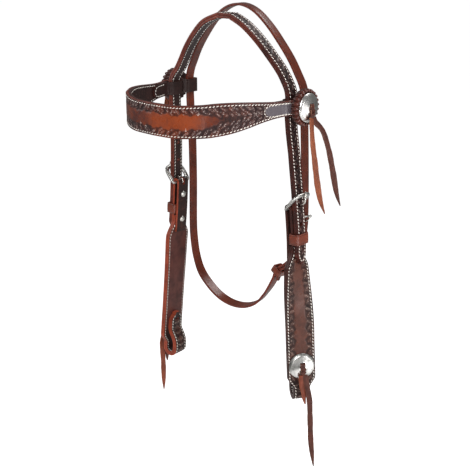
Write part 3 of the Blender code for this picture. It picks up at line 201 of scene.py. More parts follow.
# %% Places along the straps, as shares of their sizes
crown_arch_shares = (
    (1.0, 0.0, 0.25), (1.0, 0.05, 0.25), (1.0, 0.115, 0.26), (0.98, 0.19, 0.29), (0.935, 0.27, 0.31),
    (0.845, 0.40, 0.30), (0.695, 0.565, 0.22), (0.51, 0.75, 0.10), (0.305, 0.905, 0.02),
)
far_crown_arch_shares = (
    (1.0, 0.0, 0.25), (1.0, 0.05, 0.25), (1.0, 0.115, 0.27), (0.97, 0.19, 0.38), (0.915, 0.27, 0.48),
    (0.83, 0.40, 0.46), (0.705, 0.565, 0.28), (0.53, 0.75, 0.08), (0.34, 0.905, -0.03),
)
throat_arch_shares = (
    (1.0, 0.0), (1.0, 0.05), (0.996, 0.10), (0.962, 0.20), (0.90, 0.30), (0.80, 0.45), (0.66, 0.61),
    (0.48, 0.785), (0.28, 0.925), (0.09, 0.99),
)
throat_loop_shares = (
    (-1.0, 0.0), (-0.99, 0.10), (-0.965, 0.25), (-0.96, 0.45), (-0.97, 0.65), (-0.955, 0.74),
    (-0.91, 0.82), (-0.82, 0.89), (-0.67, 0.94), (-0.49, 0.978), (-0.30, 0.998), (-0.10, 1.0),
    (0.09, 0.985), (0.26, 0.952), (0.38, 0.905), (0.47, 0.86), (0.55, 0.81),
)
throat_lying_shares = (
    (1.0, 0.0), (0.985, 0.20), (0.95, 0.40), (0.85, 0.58), (0.62, 0.74), (0.34, 0.87), (0.05, 0.985),
    (-0.03, 1.17),
)
browband_plan_shares = (
    (0.995, 0.17), (0.92, 0.372), (0.87, 0.518), (0.795, 0.664), (0.705, 0.774), (0.59, 0.876),
    (0.33, 0.978), (0.0, 1.0),
)
near_line_shares = (
    (0.0, 1.000, 0.00), (0.045, 1.002, 0.003), (0.15, 1.035, 0.035), (0.30, 1.070, 0.080),
    (0.43, 1.100, 0.105), (0.55, 1.128, 0.095), (0.75, 1.178, 0.085), (1.0, 1.240, 0.075),
)
far_line_shares = (
    (0.0, 1.000, 0.00), (0.045, 1.001, 0.003), (0.15, 1.0165, 0.03), (0.30, 1.042, 0.04),
    (0.43, 1.072, 0.035), (0.55, 1.108, 0.012), (0.75, 1.174, -0.008), (1.0, 1.262, -0.02),
)
LINE_SHARES = {1: near_line_shares, -1: far_line_shares}
browband_taper_share = 0.72
frame_arch_share = 0.62
frame_squareness = 0.8
throat_keeper_back_share = 0.3
# Each tail: how far it turns, and its places in mm as (out, back, down) from the knot
lace_tails = {
    ("near_rosette", "front"): (
        -0.9, ((0, -2.2, 0), (1, -3, 10), (3, -3, 30), (5, 0, 55), (7, 3, 80), (9, 8, 104), (11, 15, 122))
    ),
    ("near_rosette", "back"): (
        -0.8, ((0, 2.2, 0), (1, 4, 6), (5, 14, 18), (8, 23, 42), (11, 29, 70), (14, 34, 98), (17, 39, 116))
    ),
    ("far_rosette", "front"): (-0.8, ((0, -2.2, 0), (1, -3, 10), (2, -3, 25), (2, -2, 46))),
    ("far_rosette", "back"): (-0.8, ((0, 2.2, 0), (1, 4, 8), (3, 9, 25), (2, 14, 50), (0, 17, 93))),
    ("near_bit", "front"): (0.7, ((0, -2.2, 0), (0.6, -2.4, 10), (2, 0, 24), (2, 3, 42))),
    ("near_bit", "back"): (
        -0.4, ((0, 2.2, 0), (0.8, 4, 10), (3, 8.5, 35), (4, 10, 65), (4, 12, 100), (3, 17, 139))
    ),
    ("far_bit", "front"): (-0.8, ((0, -2.2, 0), (1, -4, 10), (4, -6, 30), (3, -5, 60), (2, -6, 107))),
    ("far_bit", "back"): (-0.7, ((0, 2.2, 0), (0.8, 4, 8), (4, 5, 30), (3, 4, 62))),
}
print("route tables ready")

# %% [markdown]
# ## Lines that the straps follow
#
# A strap is easiest to make flat, as a saddler cuts it, and to bend afterwards. For that each strap needs
# a line: its places in space, with the directions across it and through it at every step. The same smooth
# curve through given points is used everywhere.

# %% Smooth curves and the two sides of the head
FINE_STEP = 0.0025


def spline_point(before, start, end, after, t):
    return 0.5 * (
        2 * start
        + (end - before) * t
        + (2 * before - 5 * start + 4 * end - after) * t**2
        + (3 * start - before - 3 * end + after) * t**3
    )


def spline_through(ends, step):
    """Places on a smooth curve through all points but the first and last, up to the last but one."""
    route = []
    for i in range(1, len(ends) - 2):
        pieces = max(1, round((ends[i + 1] - ends[i]).length / step))
        route += [spline_point(*ends[i - 1 : i + 3], k / pieces) for k in range(pieces)]
    return route


def smooth_route(points, step=FINE_STEP):
    points = [Vector(p) for p in points]
    ends = [2 * points[0] - points[1], *points, 2 * points[-1] - points[-2]]
    return [*spline_through(ends, step), points[-1]]


def table_value(table, share):
    share = min(max(share, table[0][0]), table[-1][0])
    i = next(k for k in range(1, len(table)) if share <= table[k][0])
    rows = [Vector(table[min(max(k, 0), len(table) - 1)]) for k in (i - 2, i - 1, i, i + 1)]
    return spline_point(*rows, (share - table[i - 1][0]) / (table[i][0] - table[i - 1][0]))


def ease(share):
    share = np.clip(share, 0.0, 1.0)
    return share * share * (3 - 2 * share)


def between(value, start, end):
    return ease((value - start) / (end - start))


def side_line(side, drop):
    row = table_value(LINE_SHARES[side], drop / CHEEK_DROP)
    return Vector((
        side * CROWN_HALF_SPAN * row[1], CROWN_BACKSET + CROWN_HALF_SPAN * row[2], ROSETTE_LEVEL - drop
    ))


def side_axes(side, drop):
    turn = TURN[side] * float(between(drop, TURN_START, TURN_END))
    out = Vector((side * cos(turn), -sin(turn), 0))
    back = Vector((side * sin(turn), cos(turn), 0))
    return out, back


def side_point(side, drop, out, back=0.0):
    out_axis, back_axis = side_axes(side, drop)
    return side_line(side, drop) + out * out_axis + back * back_axis


def rigid_frame(origin, up, out):
    up = up.normalized()
    out = (out - out.dot(up) * up).normalized()
    matrix = Matrix((out, up.cross(out), up)).transposed().to_4x4()
    matrix.translation = origin
    return matrix


def side_frame(side, drop, out):
    up = side_line(side, drop - 0.012) - side_line(side, drop + 0.012)
    out_axis, back_axis = side_axes(side, drop)
    up -= up.dot(back_axis) * back_axis
    return rigid_frame(side_point(side, drop, out), up, out_axis)


print("near cheek ends at", [round(c, 3) for c in side_line(1, CHEEK_DROP)])


# %% A strap's line
def strap_line(places, across=None, through=None):
    """Lengths, places and directions; give the through directions, or one across or one for each place."""
    places = np.array(places, dtype=float)
    along = np.gradient(places, axis=0)
    along /= np.linalg.norm(along, axis=1, keepdims=True)
    if through is None:
        across = np.broadcast_to(np.array(across, dtype=float), places.shape).copy()
        across -= np.sum(across * along, axis=1, keepdims=True) * along
        across /= np.linalg.norm(across, axis=1, keepdims=True)
        through = np.cross(along, across)
    else:
        through = np.array(through, dtype=float)
        across = np.cross(through, along)
        across /= np.linalg.norm(across, axis=1, keepdims=True)
    steps = np.linalg.norm(np.diff(places, axis=0), axis=1)
    return {
        "at": np.concatenate([[0.0], np.cumsum(steps)]), "place": places, "across": across, "through": through
    }


def along_line(line, key, s):
    return np.column_stack([np.interp(s, line["at"], line[key][:, k]) for k in range(3)])


def bend_to_line(line, flat):
    """Moves points from (length, across, through) of the flat strap to their places in space."""
    s = np.clip(flat[:, 0], 0.0, line["at"][-1])
    past = flat[:, 0] - s
    ahead = np.cross(along_line(line, "across", s), along_line(line, "through", s))
    return (
        along_line(line, "place", s)
        + flat[:, 1:2] * along_line(line, "across", s)
        + flat[:, 2:3] * along_line(line, "through", s)
        + past[:, None] * ahead
    )


def length_at(line, axis, value, first=True, start=-1.0):
    """The length at which the line first (or last) passes a place on one axis, after the start."""
    lengths, track = line["at"], line["place"][:, axis] - value
    hits = np.nonzero((np.sign(track[:-1]) != np.sign(track[1:])) & (lengths[:-1] > start))[0]
    i = hits[0] if first else hits[-1]
    share = track[i] / (track[i] - track[i + 1])
    return float(lengths[i] + share * (lengths[i + 1] - lengths[i]))


print("strap lines keep their lengths, places and directions")


# %% Lines of the crown strap and browband
def crown_line():
    arches = []
    for side, shares in ((1, crown_arch_shares), (-1, far_crown_arch_shares)):
        half = [
            Vector((side * CROWN_HALF_SPAN * x, CROWN_WIDTH * b, ROSETTE_LEVEL + CROWN_RISE * z))
            for x, z, b in shares
        ]
        arches.append(smooth_route([*half, Vector((side * POLL_FLAT / 2, 0, CROWN_TOP))]))
    steps = round(BILLET_DROP / FINE_STEP)
    near = [side_line(1, BILLET_DROP * k / steps) for k in range(steps, 0, -1)]
    far = [side_line(-1, BILLET_DROP * k / steps) for k in range(1, steps + 1)]
    route = near + arches[0] + arches[1][::-1] + far
    return strap_line(route, across=(0, 1, 0))


def browband_half_route():
    half = []
    for x, reach in browband_plan_shares:
        level = ROSETTE_LEVEL - BROWBAND_DIP * reach**2
        half.append(Vector((BROWBAND_HALF_SPAN * x, CROWN_BACKSET - BROWBAND_REACH * reach, level)))
    end_x = CROWN_HALF_SPAN + BROWBAND_OUT
    ends = [
        Vector((end_x, CROWN_BACKSET + back, ROSETTE_LEVEL))
        for back in (BROWBAND_PAST_CROWN, 0.0, -CROWN_WIDTH / 2)
    ]
    return smooth_route([*ends, *half])


def browband_line():
    near = browband_half_route()
    route = near + [Vector((-p.x, p.y, p.z)) for p in reversed(near[:-1])]
    return strap_line(route, across=(0, 0, 1))


crown = crown_line()
browband = browband_line()
print("crown strap cut", round(crown["at"][-1], 3), "m long, browband", round(browband["at"][-1], 3), "m")


# %% Lines of the cheeks
def arc(centre_drop, centre_out, radius, start, end, pieces):
    turns = [radians(start + (end - start) * k / pieces) for k in range(pieces + 1)]
    return [(centre_drop - radius * sin(a), centre_out + radius * cos(a)) for a in turns]


def straight(start, end):
    pieces = max(1, round(dist(start, end) / FINE_STEP))
    return [tuple(a + (b - a) * k / pieces for a, b in zip(start, end)) for k in range(pieces + 1)]


def bit_loop_route():
    """Round the bit loop and up the tab, as (drop, out) of the middle between the plies."""
    radius = (BIT_LOOP_WIDE + STRAP) / 2
    bottom = CHEEK_DROP - STRAP / 2 - radius
    tab_out = CHEEK_OUT - STRAP - LIE_GAP
    gather = CONCHO_DROP + CONCHO_RADIUS * 0.45
    rise = bottom - gather
    far_out = CHEEK_OUT - 2 * radius
    loop = arc(bottom, CHEEK_OUT - radius, radius, 0, -180, 36)
    back = [
        loop[-1], (bottom - 0.30 * rise, far_out + 0.03 * (tab_out - far_out)),
        (bottom - 0.55 * rise, far_out + 0.32 * (tab_out - far_out)),
        (bottom - 0.80 * rise, far_out + 0.80 * (tab_out - far_out)), (gather, tab_out),
        (BIT_TAB_DROP, tab_out),
    ]
    curve = smooth_route([Vector((d, o, 0)) for d, o in back], 0.0015)
    return loop[:-1] + [(p.x, p.y) for p in curve]


def body_points(start):
    """Down the cheek from a drop, and on round the bit loop."""
    loop = bit_loop_route()
    return straight((start, CHEEK_OUT), (loop[0][0], CHEEK_OUT))[:-1] + loop


def cheek_line(side, points, offset):
    """points are (drop, out) of the middle layer; offset moves the line along its own outer face."""
    places = []
    throughs = []
    for i, (drop, out) in enumerate(points):
        before, after = points[max(i - 1, 0)], points[min(i + 1, len(points) - 1)]
        along = Vector((after[0] - before[0], after[1] - before[1])).normalized()
        through = Vector((0, 0, along.y)) + along.x * side_axes(side, drop)[0]
        places.append(side_point(side, drop, out) + offset * through)
        throughs.append(through)
    return strap_line(places, through=throughs)


def outer_cheek_line(side):
    tail = straight((FOLD_TAIL_DROP, TAIL_OUT), (BAR_DROP, TAIL_OUT))
    fold = arc(BAR_DROP, BAR_OUT, FOLD_RADIUS, 180, 0, 24)
    top = tail[:-1] + fold[:-1]
    body = body_points(BAR_DROP)
    upper = cheek_line(side, top + [(d, TOP_PLY_OUT) for d, _ in body[:2]], 0.0)
    lower = cheek_line(side, body, PLY_OFFSET)
    keep = len(top)
    places = np.concatenate([upper["place"][:keep], lower["place"]])
    throughs = np.concatenate([upper["through"][:keep], lower["through"]])
    line = strap_line(places, through=throughs)
    line["body_start"] = float(line["at"][keep])
    return line


cheek_outer_lines = {side: outer_cheek_line(side) for _, side in SIDES}
cheek_lining_lines = {side: cheek_line(side, body_points(LINING_START), -PLY_OFFSET) for _, side in SIDES}
print("cheek piece cut", round(cheek_outer_lines[1]["at"][-1], 3), "m long")


# %% Line of the throatlatch
def throat_point(out, drop, behind=THROAT_BEHIND_CROWN):
    return Vector((out, CROWN_BACKSET + behind, ROSETTE_LEVEL - drop))


def throat_lying_point(row):
    out = THROAT_KEEPER_OUT + (THROAT_BUCKLE_OUT - THROAT_KEEPER_OUT) * row[0]
    drop = THROAT_BUCKLE_DROP + (THROAT_KEEPER_DROP - THROAT_BUCKLE_DROP) * row[1]
    back = THROAT_BUCKLE_BACK * (1 - (1 - throat_keeper_back_share) * row[1])
    return throat_point(out, drop, THROAT_BEHIND_CROWN + back)


def shifted_route(route, shift):
    line = strap_line(route, across=(0, 1, 0))
    return [Vector(p) + shift * Vector(t) for p, t in zip(line["place"], line["through"])]


COARSE_STEP = 0.012 * 0.6
lying_points = [throat_lying_point(row) for row in throat_lying_shares]
throat_lying = smooth_route(lying_points)
THROAT_LOWER = -(PLY + SLIP_GAP)
THROAT_BAR = THROAT_LOWER - PLY / 2 - LIE_GAP - THROAT_BAR_RADIUS
THROAT_FOLD = THROAT_BAR_RADIUS + LIE_GAP + PLY / 2
coarse_lying = smooth_route(lying_points, COARSE_STEP)
throat_buckle_frame = rigid_frame(coarse_lying[0], coarse_lying[0] - coarse_lying[1], Vector((1, 0, 0)))
throat_keeper_frame = rigid_frame(lying_points[-2], lying_points[-3] - lying_points[-1], Vector((1, 0, 0)))
print("throatlatch buckle at", [round(c, 3) for c in throat_buckle_frame.translation])


# %% The whole way of the throatlatch
def route_lengths(route):
    steps = [(b - a).length for a, b in zip(route, route[1:])]
    return np.concatenate([[0.0], np.cumsum(steps)])


def throat_line():
    inner = shifted_route(throat_lying, THROAT_BAR - THROAT_FOLD)
    tail = [p for p, length in zip(inner, route_lengths(inner)) if 0 < length <= THROAT_TAIL]
    turns = [radians(180 - 9 * k) for k in range(1, 20)]
    fold = [
        throat_buckle_frame @ Vector((THROAT_BAR + THROAT_FOLD * cos(a), 0, THROAT_FOLD * sin(a)))
        for a in turns
    ]
    down = [
        p for p, q in zip(shifted_route(throat_lying, THROAT_LOWER), throat_lying)
        if q.z >= throat_keeper_frame.translation.z
    ][1:]
    loop = []
    for x, z in throat_loop_shares:
        back = THROAT_BUCKLE_BACK * throat_keeper_back_share * float(ease(x / throat_loop_shares[-1][0]))
        loop.append(throat_point(THROAT_HALF_SPAN * x, THROAT_DROP * z, THROAT_BEHIND_CROWN + back))
    under = smooth_route([down[-5], down[-1], *reversed(loop)])
    start = next(i for i, p in enumerate(under) if (p - down[-1]).length < 1e-7)
    arch = []
    for x, z in throat_arch_shares:
        forward = THROAT_BEHIND_CROWN - (THROAT_BEHIND_AT_POLL - CROWN_BACKSET)
        behind = THROAT_BEHIND_CROWN - forward * float(ease(z))
        arch.append(throat_point(THROAT_HALF_SPAN * x, -THROAT_RISE * z, behind))
    far_arch = [Vector((-p.x, p.y, p.z)) for p in arch[1:]]
    out = THROAT_BUCKLE_OUT - THROAT_HALF_SPAN
    to_buckle = [
        throat_point(
            THROAT_HALF_SPAN + out * share, THROAT_BUCKLE_DROP * drop,
            THROAT_BEHIND_CROWN + THROAT_BUCKLE_BACK * share,
        )
        for share, drop in ((0.0, 0.10), (0.50, 0.42), (0.94, 0.78))
    ]
    over = smooth_route([loop[0], *far_arch, *reversed(arch), *to_buckle, throat_lying[0]])
    parts = [list(reversed(tail)) + fold + down, under[start + 1 :], over[1:-1], throat_lying]
    route = [p for part in parts for p in part]
    low = ROSETTE_LEVEL - THROAT_DROP
    bar_axis = throat_buckle_frame.to_3x3() @ Vector((0, 1, 0))
    lengths = route_lengths(route)
    fold_end = THROAT_TAIL + pi * THROAT_FOLD
    hints = []
    for p, length in zip(route, lengths):
        lean = THROAT_LEAN * float(ease((low + THROAT_DROP * 0.16 - p.z) / (THROAT_DROP * 0.06)))
        hints.append(bar_axis if length < fold_end else Vector((0, 1, lean)))
    line = strap_line(route, across=hints)
    line["billet_start"] = float(lengths[len(route) - len(throat_lying)])
    return line


throatlatch = throat_line()
print("throatlatch cut", round(throatlatch["at"][-1], 3), "m long")

# %% [markdown]
# ## The lace tails come first
#
# The four knots each end in two free tails of flat lace leather. A lace is limp, so it hangs, and only its
# first bend over the concho is held. Each tail is a flat tube of four-cornered sections that follows its
# own route, narrows to a point and turns a little, as a lace does when it has been pulled through a slot.

# %% Helpers for whole meshes
def start_fresh():
    if bpy.context.mode != "OBJECT":
        bpy.ops.object.mode_set(mode="OBJECT")
    bpy.ops.object.select_all(action="DESELECT")


def pick(*pieces):
    """Selects the pieces and makes the first one the active one."""
    start_fresh()
    for piece in pieces:
        piece.select_set(True)
    bpy.context.view_layer.objects.active = pieces[0]


def joined(pieces):
    pick(*pieces)
    if len(pieces) > 1:
        bpy.ops.object.join()
    return bpy.context.object


def coordinates(piece):
    flat = np.empty(len(piece.data.vertices) * 3)
    piece.data.vertices.foreach_get("co", flat)
    return flat.reshape(-1, 3)


def set_coordinates(piece, places):
    piece.data.vertices.foreach_set("co", np.ascontiguousarray(places, dtype=np.float64).ravel())
    piece.data.update()


def note(piece, name, values):
    """Keeps a number for every point of the piece, for its material to read."""
    layer = piece.data.attributes.get(name) or piece.data.attributes.new(name, "FLOAT", "POINT")
    layer.data.foreach_set("value", np.ascontiguousarray(values, dtype=np.float32))


def ring_tube(name, rings):
    """Joins rings of points, all with the same number of corners, into one closed skin."""
    count = len(rings[0])
    points = [tuple(p) for ring in rings for p in ring]
    faces = []
    for here in range(0, len(points) - count, count):
        there = here + count
        for k in range(count):
            after = (k + 1) % count
            faces.append((here + k, here + after, there + after, there + k))
    faces.append(tuple(range(count))[::-1])
    faces.append(tuple(range(len(points) - count, len(points))))
    mesh = bpy.data.meshes.new(name)
    mesh.from_pydata(points, [], faces)
    piece = bpy.data.objects.new(name, mesh)
    bpy.context.scene.collection.objects.link(piece)
    work = bmesh.new()
    work.from_mesh(piece.data)
    bmesh.ops.recalc_face_normals(work, faces=work.faces)
    work.to_mesh(piece.data)
    work.free()
    return piece


print("mesh helpers ready")


# %% Helper for a lace tail
TAIL_WIDTH = 0.0074
LACE_CORNERS = (
    (1.0, 0.55), (0.86, 1.0), (-0.86, 1.0), (-1.0, 0.55), (-1.0, -0.55), (-0.86, -1.0), (0.86, -1.0),
    (1.0, -0.55),
)


def lace_tail(name, route, out_axis, twist):
    """A flat tail along its route; twist is how far its face turns on the way down."""
    route = [Vector(p) for p in route]
    total = len(route) - 1
    rings = []
    for i, place in enumerate(route):
        along = (route[min(i + 1, total)] - route[max(i - 1, 0)]).normalized()
        flat = along.cross(out_axis).normalized()
        face = flat.cross(along)
        turn = twist * float(ease(i / total))
        wide = cos(turn) * flat + sin(turn) * face
        thick = cos(turn) * face - sin(turn) * flat
        to_tip = (total - i) / total
        share = 0.16 + 0.84 * min(1.0, to_tip / 0.22) ** 0.8
        wobble = 1.0 + 0.05 * sin(i * 0.9) + 0.03 * sin(i * 2.3)
        rings.append([
            place + x * wide * share * wobble * TAIL_WIDTH / 2 + y * thick * LACE_THICKNESS / 2
            for x, y in LACE_CORNERS
        ])
    piece = ring_tube(name, rings)
    flesh = [abs(x) > 0.95 for _ in rings for x, _ in LACE_CORNERS]
    note(piece, "flesh", np.array(flesh, dtype=float))
    piece.data.shade_smooth()
    return piece


print("each section of a tail has", len(LACE_CORNERS), "corners")


# %% The eight tails
def rosette_frame(side, out):
    out += CROWN_HALF_SPAN
    centre = Vector((side * out, CROWN_BACKSET + ROSETTE_BACK[side], ROSETTE_LEVEL))
    return rigid_frame(centre, Vector((0, 0, 1)), Vector((side, 0, 0)))


CONCHO_FACE_ROSETTE = BROWBAND_FACE + LIE_GAP + ROSETTE_THICKNESS + LIE_GAP
CONCHO_FACE_BIT = CHEEK_OUT + STRAP / 2 + LIE_GAP
concho_frames = {}
for label, side in SIDES:
    concho_frames[f"{label}_rosette"] = rosette_frame(side, CONCHO_FACE_ROSETTE)
    concho_frames[f"{label}_bit"] = side_frame(side, CONCHO_DROP, CONCHO_FACE_BIT)


def make_tail(place_name, end, twist, offsets):
    side = 1 if place_name.startswith("near") else -1
    placed = concho_frames[place_name]
    out_axis = placed.to_3x3() @ Vector((1, 0, 0))
    back_axis = Vector((0, 0, 1)).cross(out_axis) * side
    start = placed @ Vector((KNOT_OUT, 0, -SLOT_OFFSET - LACE_WIDTH - LIE_GAP))
    points = [
        start + MM * out * out_axis + MM * back * back_axis - MM * down * Vector((0, 0, 1))
        for out, back, down in offsets
    ]
    length = sum((q - p).length for p, q in zip(points, points[1:]))
    route = smooth_route(points, max(0.002, length / 34))
    piece = lace_tail(f"{place_name}_lace_{end}_end", route, out_axis, twist)
    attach(piece, "browband" if "rosette" in place_name else "straps")
    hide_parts(f"{place_name}_lace_{end}_tail")
    return piece


lace_pieces = [make_tail(*place, *values) for place, values in lace_tails.items()]

# %% [markdown]
# ## Cutting a strap flat, and bending it
#
# Each ply is a grid, cut to its outline, given its thickness and its rubbed edges, punched, carved while it
# is flat, as a saddler does it on a stone, and bent along its line at the end.

# %% Helpers for straps
FINE_GRID = 0.0008
PLAIN_GRID = 0.0016


def apply_modifiers(piece):
    bpy.context.view_layer.objects.active = piece
    for modifier in list(piece.modifiers):
        bpy.ops.object.modifier_apply(modifier=modifier.name)


def half_at(line, s):
    return np.interp(s, line["at"], line["half"])


def cut_strap(name, line, thick, step, rub=0.0006):
    """A flat ply: x runs along it, y across it, and its grain side looks up."""
    start_fresh()
    length = float(line["at"][-1])
    along = round(length / step)
    across = max(6, round(2 * float(line["half"].max()) / step))
    bpy.ops.mesh.primitive_grid_add(x_subdivisions=along, y_subdivisions=across, size=1)
    piece = bpy.context.object
    piece.name = name
    flat = coordinates(piece)
    flat[:, 0] = (flat[:, 0] + 0.5) * length
    flat[:, 1] *= 2 * half_at(line, flat[:, 0])
    set_coordinates(piece, flat)
    solid = piece.modifiers.new("thickness", "SOLIDIFY")
    solid.thickness = thick
    solid.offset = 0
    edge = piece.modifiers.new("rubbed_edge", "BEVEL")
    edge.width = rub
    edge.segments = 2
    edge.limit_method = "ANGLE"
    edge.angle_limit = radians(60)
    apply_modifiers(piece)
    return piece


print("strap cutter ready")


# %% Punch a strap
def punch(piece, cutter):
    start_fresh()
    hole = piece.modifiers.new("punch", "BOOLEAN")
    hole.operation = "DIFFERENCE"
    hole.object = cutter
    apply_modifiers(piece)
    bpy.data.objects.remove(cutter, do_unlink=True)


def round_punch(places, radius):
    """One cutter with a round pin at every (length, across) place."""
    start_fresh()
    pins = []
    for s, w in places:
        bpy.ops.mesh.primitive_cylinder_add(vertices=24, radius=radius, depth=0.02, location=(s, w, 0))
        pins.append(bpy.context.object)
    joined(pins)
    bpy.ops.object.transform_apply()
    return bpy.context.object


def slot_punch(s, w, size, depth=0.02):
    start_fresh()
    bpy.ops.mesh.primitive_cube_add(size=1, location=(s, w, 0), scale=(*size, depth))
    bpy.ops.object.transform_apply()
    return bpy.context.object


print("punches ready")


# %% Carve a strap and bend it
def carve(piece, line, height, tone=None):
    """Presses the grain side by height(s, w), which gives metres and the masks for its colour."""
    flat = coordinates(piece)
    s, w, n = flat.T
    half = half_at(line, s)
    to_edge = half - np.abs(w)
    up = (n > n.max() * 0.97) & (to_edge > 0.0004)
    lift, tooled, rubbed_and_highlight = height(s, w, half)
    flat[up, 2] += lift[up]
    set_coordinates(piece, flat)
    note(piece, "dark_fill_and_painted_shade", np.where(up, tooled, 0.0))
    note(piece, "rubbed_and_highlight", np.where(up, rubbed_and_highlight, 0.0))
    note(piece, "tone", tone(s, w, half) if tone else np.zeros(len(s)))


def bent(line, flat, offset=0.0, grain=1):
    """The places of the flat points on the bent strap; grain is -1 where its good side looks in."""
    s, w, n = flat.T
    return bend_to_line(line, np.column_stack([s, grain * w, offset + grain * n]))


def lay(piece, line, offset=0.0, grain=1):
    """Marks the cut edges, keeps the flat places as a UV map and bends the strap to its line."""
    flat = coordinates(piece)
    half = half_at(line, flat[:, 0])
    mesh = piece.data
    uv = mesh.uv_layers.get("flat") or mesh.uv_layers.new(name="flat")
    corners = np.empty(len(mesh.loops), dtype=np.int32)
    mesh.loops.foreach_get("vertex_index", corners)
    uv.data.foreach_set("uv", flat[corners][:, :2].astype(np.float32).ravel())
    normals = np.empty(len(mesh.polygons) * 3)
    mesh.polygons.foreach_get("normal", normals)
    edge = np.abs(normals.reshape(-1, 3)[:, 2]) < 0.6
    mesh.polygons.foreach_set("material_index", edge.astype(np.int32))
    note(piece, "to_edge", half - np.abs(flat[:, 1]))
    set_coordinates(piece, bent(line, flat, offset, grain))
    mesh.shade_smooth()
    mesh.set_sharp_from_angle(angle=radians(50))
    return piece


def own(piece, body, slot, *nodes):
    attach(piece, body)
    if nodes:
        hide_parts(*nodes)


print("strap helpers ready")

# %% [markdown]
# ## Stitching
#
# The plies are sewn together with waxed white thread, about six stitches to the inch. One stitch, a small
# leaning grain of thread, is modelled once and repeated by an Array modifier. Each copy is moved to its
# place beside the edge, and the row is bent with the strap.

# %% Helpers for stitching
STITCH_PITCH = 0.0043
STITCH_LENGTH = 0.0037
THREAD = 0.0012
STITCH_LEAN = radians(18)
EDGE_TO_STITCH = 0.0023
thread_pieces = []
THREAD_LEVEL = PLY_THICK / 2 - 0.0001  # the thread's middle lies a little under the surface


def edge_rows(line, start, end, height):
    s = np.arange(start, end, 0.001)
    across = half_at(line, s) - EDGE_TO_STITCH
    return [np.column_stack([s, side * across, np.full(len(s), height)]) for side in (1, -1)]


def through_rows(line, ends):
    """Rows along both edges of two plies, on the carved side and on the back."""
    height = PLY_OFFSET + THREAD_LEVEL
    end = float(line["at"][-1]) - ends
    return edge_rows(line, ends, end, height) + edge_rows(line, ends, end, -height)


def tongue_row(open_end, tip, half, height):
    """A row down one side, round a blunt tip and back; a negative half starts on the other side."""
    way = copysign(abs(half) / 0.8, tip - open_end)
    centre = tip - way
    turns = np.linspace(pi / 2, -pi / 2, 24)
    round_end = np.column_stack([centre + way * np.cos(turns), half * np.sin(turns)])
    run = np.column_stack([np.linspace(open_end, centre, 20)[:-1], np.full(19, half)])
    path = np.concatenate([run, round_end, run[::-1] * (1, -1)])
    return np.column_stack([path, np.full(len(path), height)])


print("one stitch every", STITCH_PITCH * 1000, "mm")


# %% Sew rows of stitches
def sew(name, line, rows, body, slot="tooled_leather", grain=1):
    """Stitches along every row of (length, across, height) places of the flat strap."""
    spots = []
    for row in rows:
        steps = np.linalg.norm(np.diff(row, axis=0), axis=1)
        at = np.concatenate([[0.0], np.cumsum(steps)])
        count = max(1, int(at[-1] / STITCH_PITCH))
        where = (np.arange(count) + 0.5) * at[-1] / count
        middle, ahead, behind = (
            np.column_stack([np.interp(where + shift, at, row[:, k]) for k in range(3)])
            for shift in (0.0, 0.0005, -0.0005)
        )
        heading = ahead - behind
        turn = np.arctan2(heading[:, 1], heading[:, 0]) + STITCH_LEAN
        spots.append(np.column_stack([middle, turn]))
    spots = np.concatenate(spots)
    start_fresh()
    bpy.ops.mesh.primitive_uv_sphere_add(segments=6, ring_count=4, radius=0.5)
    thread = bpy.context.object
    thread.name = name
    bpy.ops.transform.rotate(value=pi / 2, orient_axis="Y", center_override=(0, 0, 0))
    bpy.ops.object.transform_apply()
    thread.scale = (STITCH_LENGTH, THREAD, THREAD * 0.9)
    bpy.ops.object.transform_apply()
    per = len(thread.data.vertices)
    repeat = thread.modifiers.new("repeat", "ARRAY")
    repeat.count = len(spots)
    repeat.use_relative_offset = False
    repeat.use_constant_offset = True
    repeat.constant_offset_displace = (STITCH_PITCH, 0, 0)
    apply_modifiers(thread)
    local = coordinates(thread)
    which = np.arange(len(local)) // per
    x = local[:, 0] - which * STITCH_PITCH
    y, z = local[:, 1], local[:, 2]
    turn = spots[which, 3]
    up = np.sign(spots[which, 2] + 1e-9)
    flat = np.column_stack([
        spots[which, 0] + x * np.cos(turn) - y * np.sin(turn),
        spots[which, 1] + x * np.sin(turn) + y * np.cos(turn),
        spots[which, 2] + z - up * 0.35 * THREAD * (2 * np.abs(x) / STITCH_LENGTH) ** 3,
    ])
    set_coordinates(thread, bent(line, flat, grain=grain))
    thread.data.shade_smooth()
    own(thread, body, slot)
    thread_pieces.append(thread)
    print(name, "has", len(spots), "stitches")


print("thread is", THREAD * 1000, "mm thick")

# %% [markdown]
# ## Carving
#
# The carving is worked out for every point of the flat leather: how deep the background is beaten down,
# where the dark antique paste stays, and where a raised leaf is made pale, partly as rubbing and partly as
# painted highlight.
# The leaves are plain traditional ones: a pointed oval with a vein and a few side veins.

# %% Helpers for carving
CARVE_DEPTH = 0.00052
STITCH_GROOVE = (0.0006, 0.00022)
CARVING_INSET = 0.0033


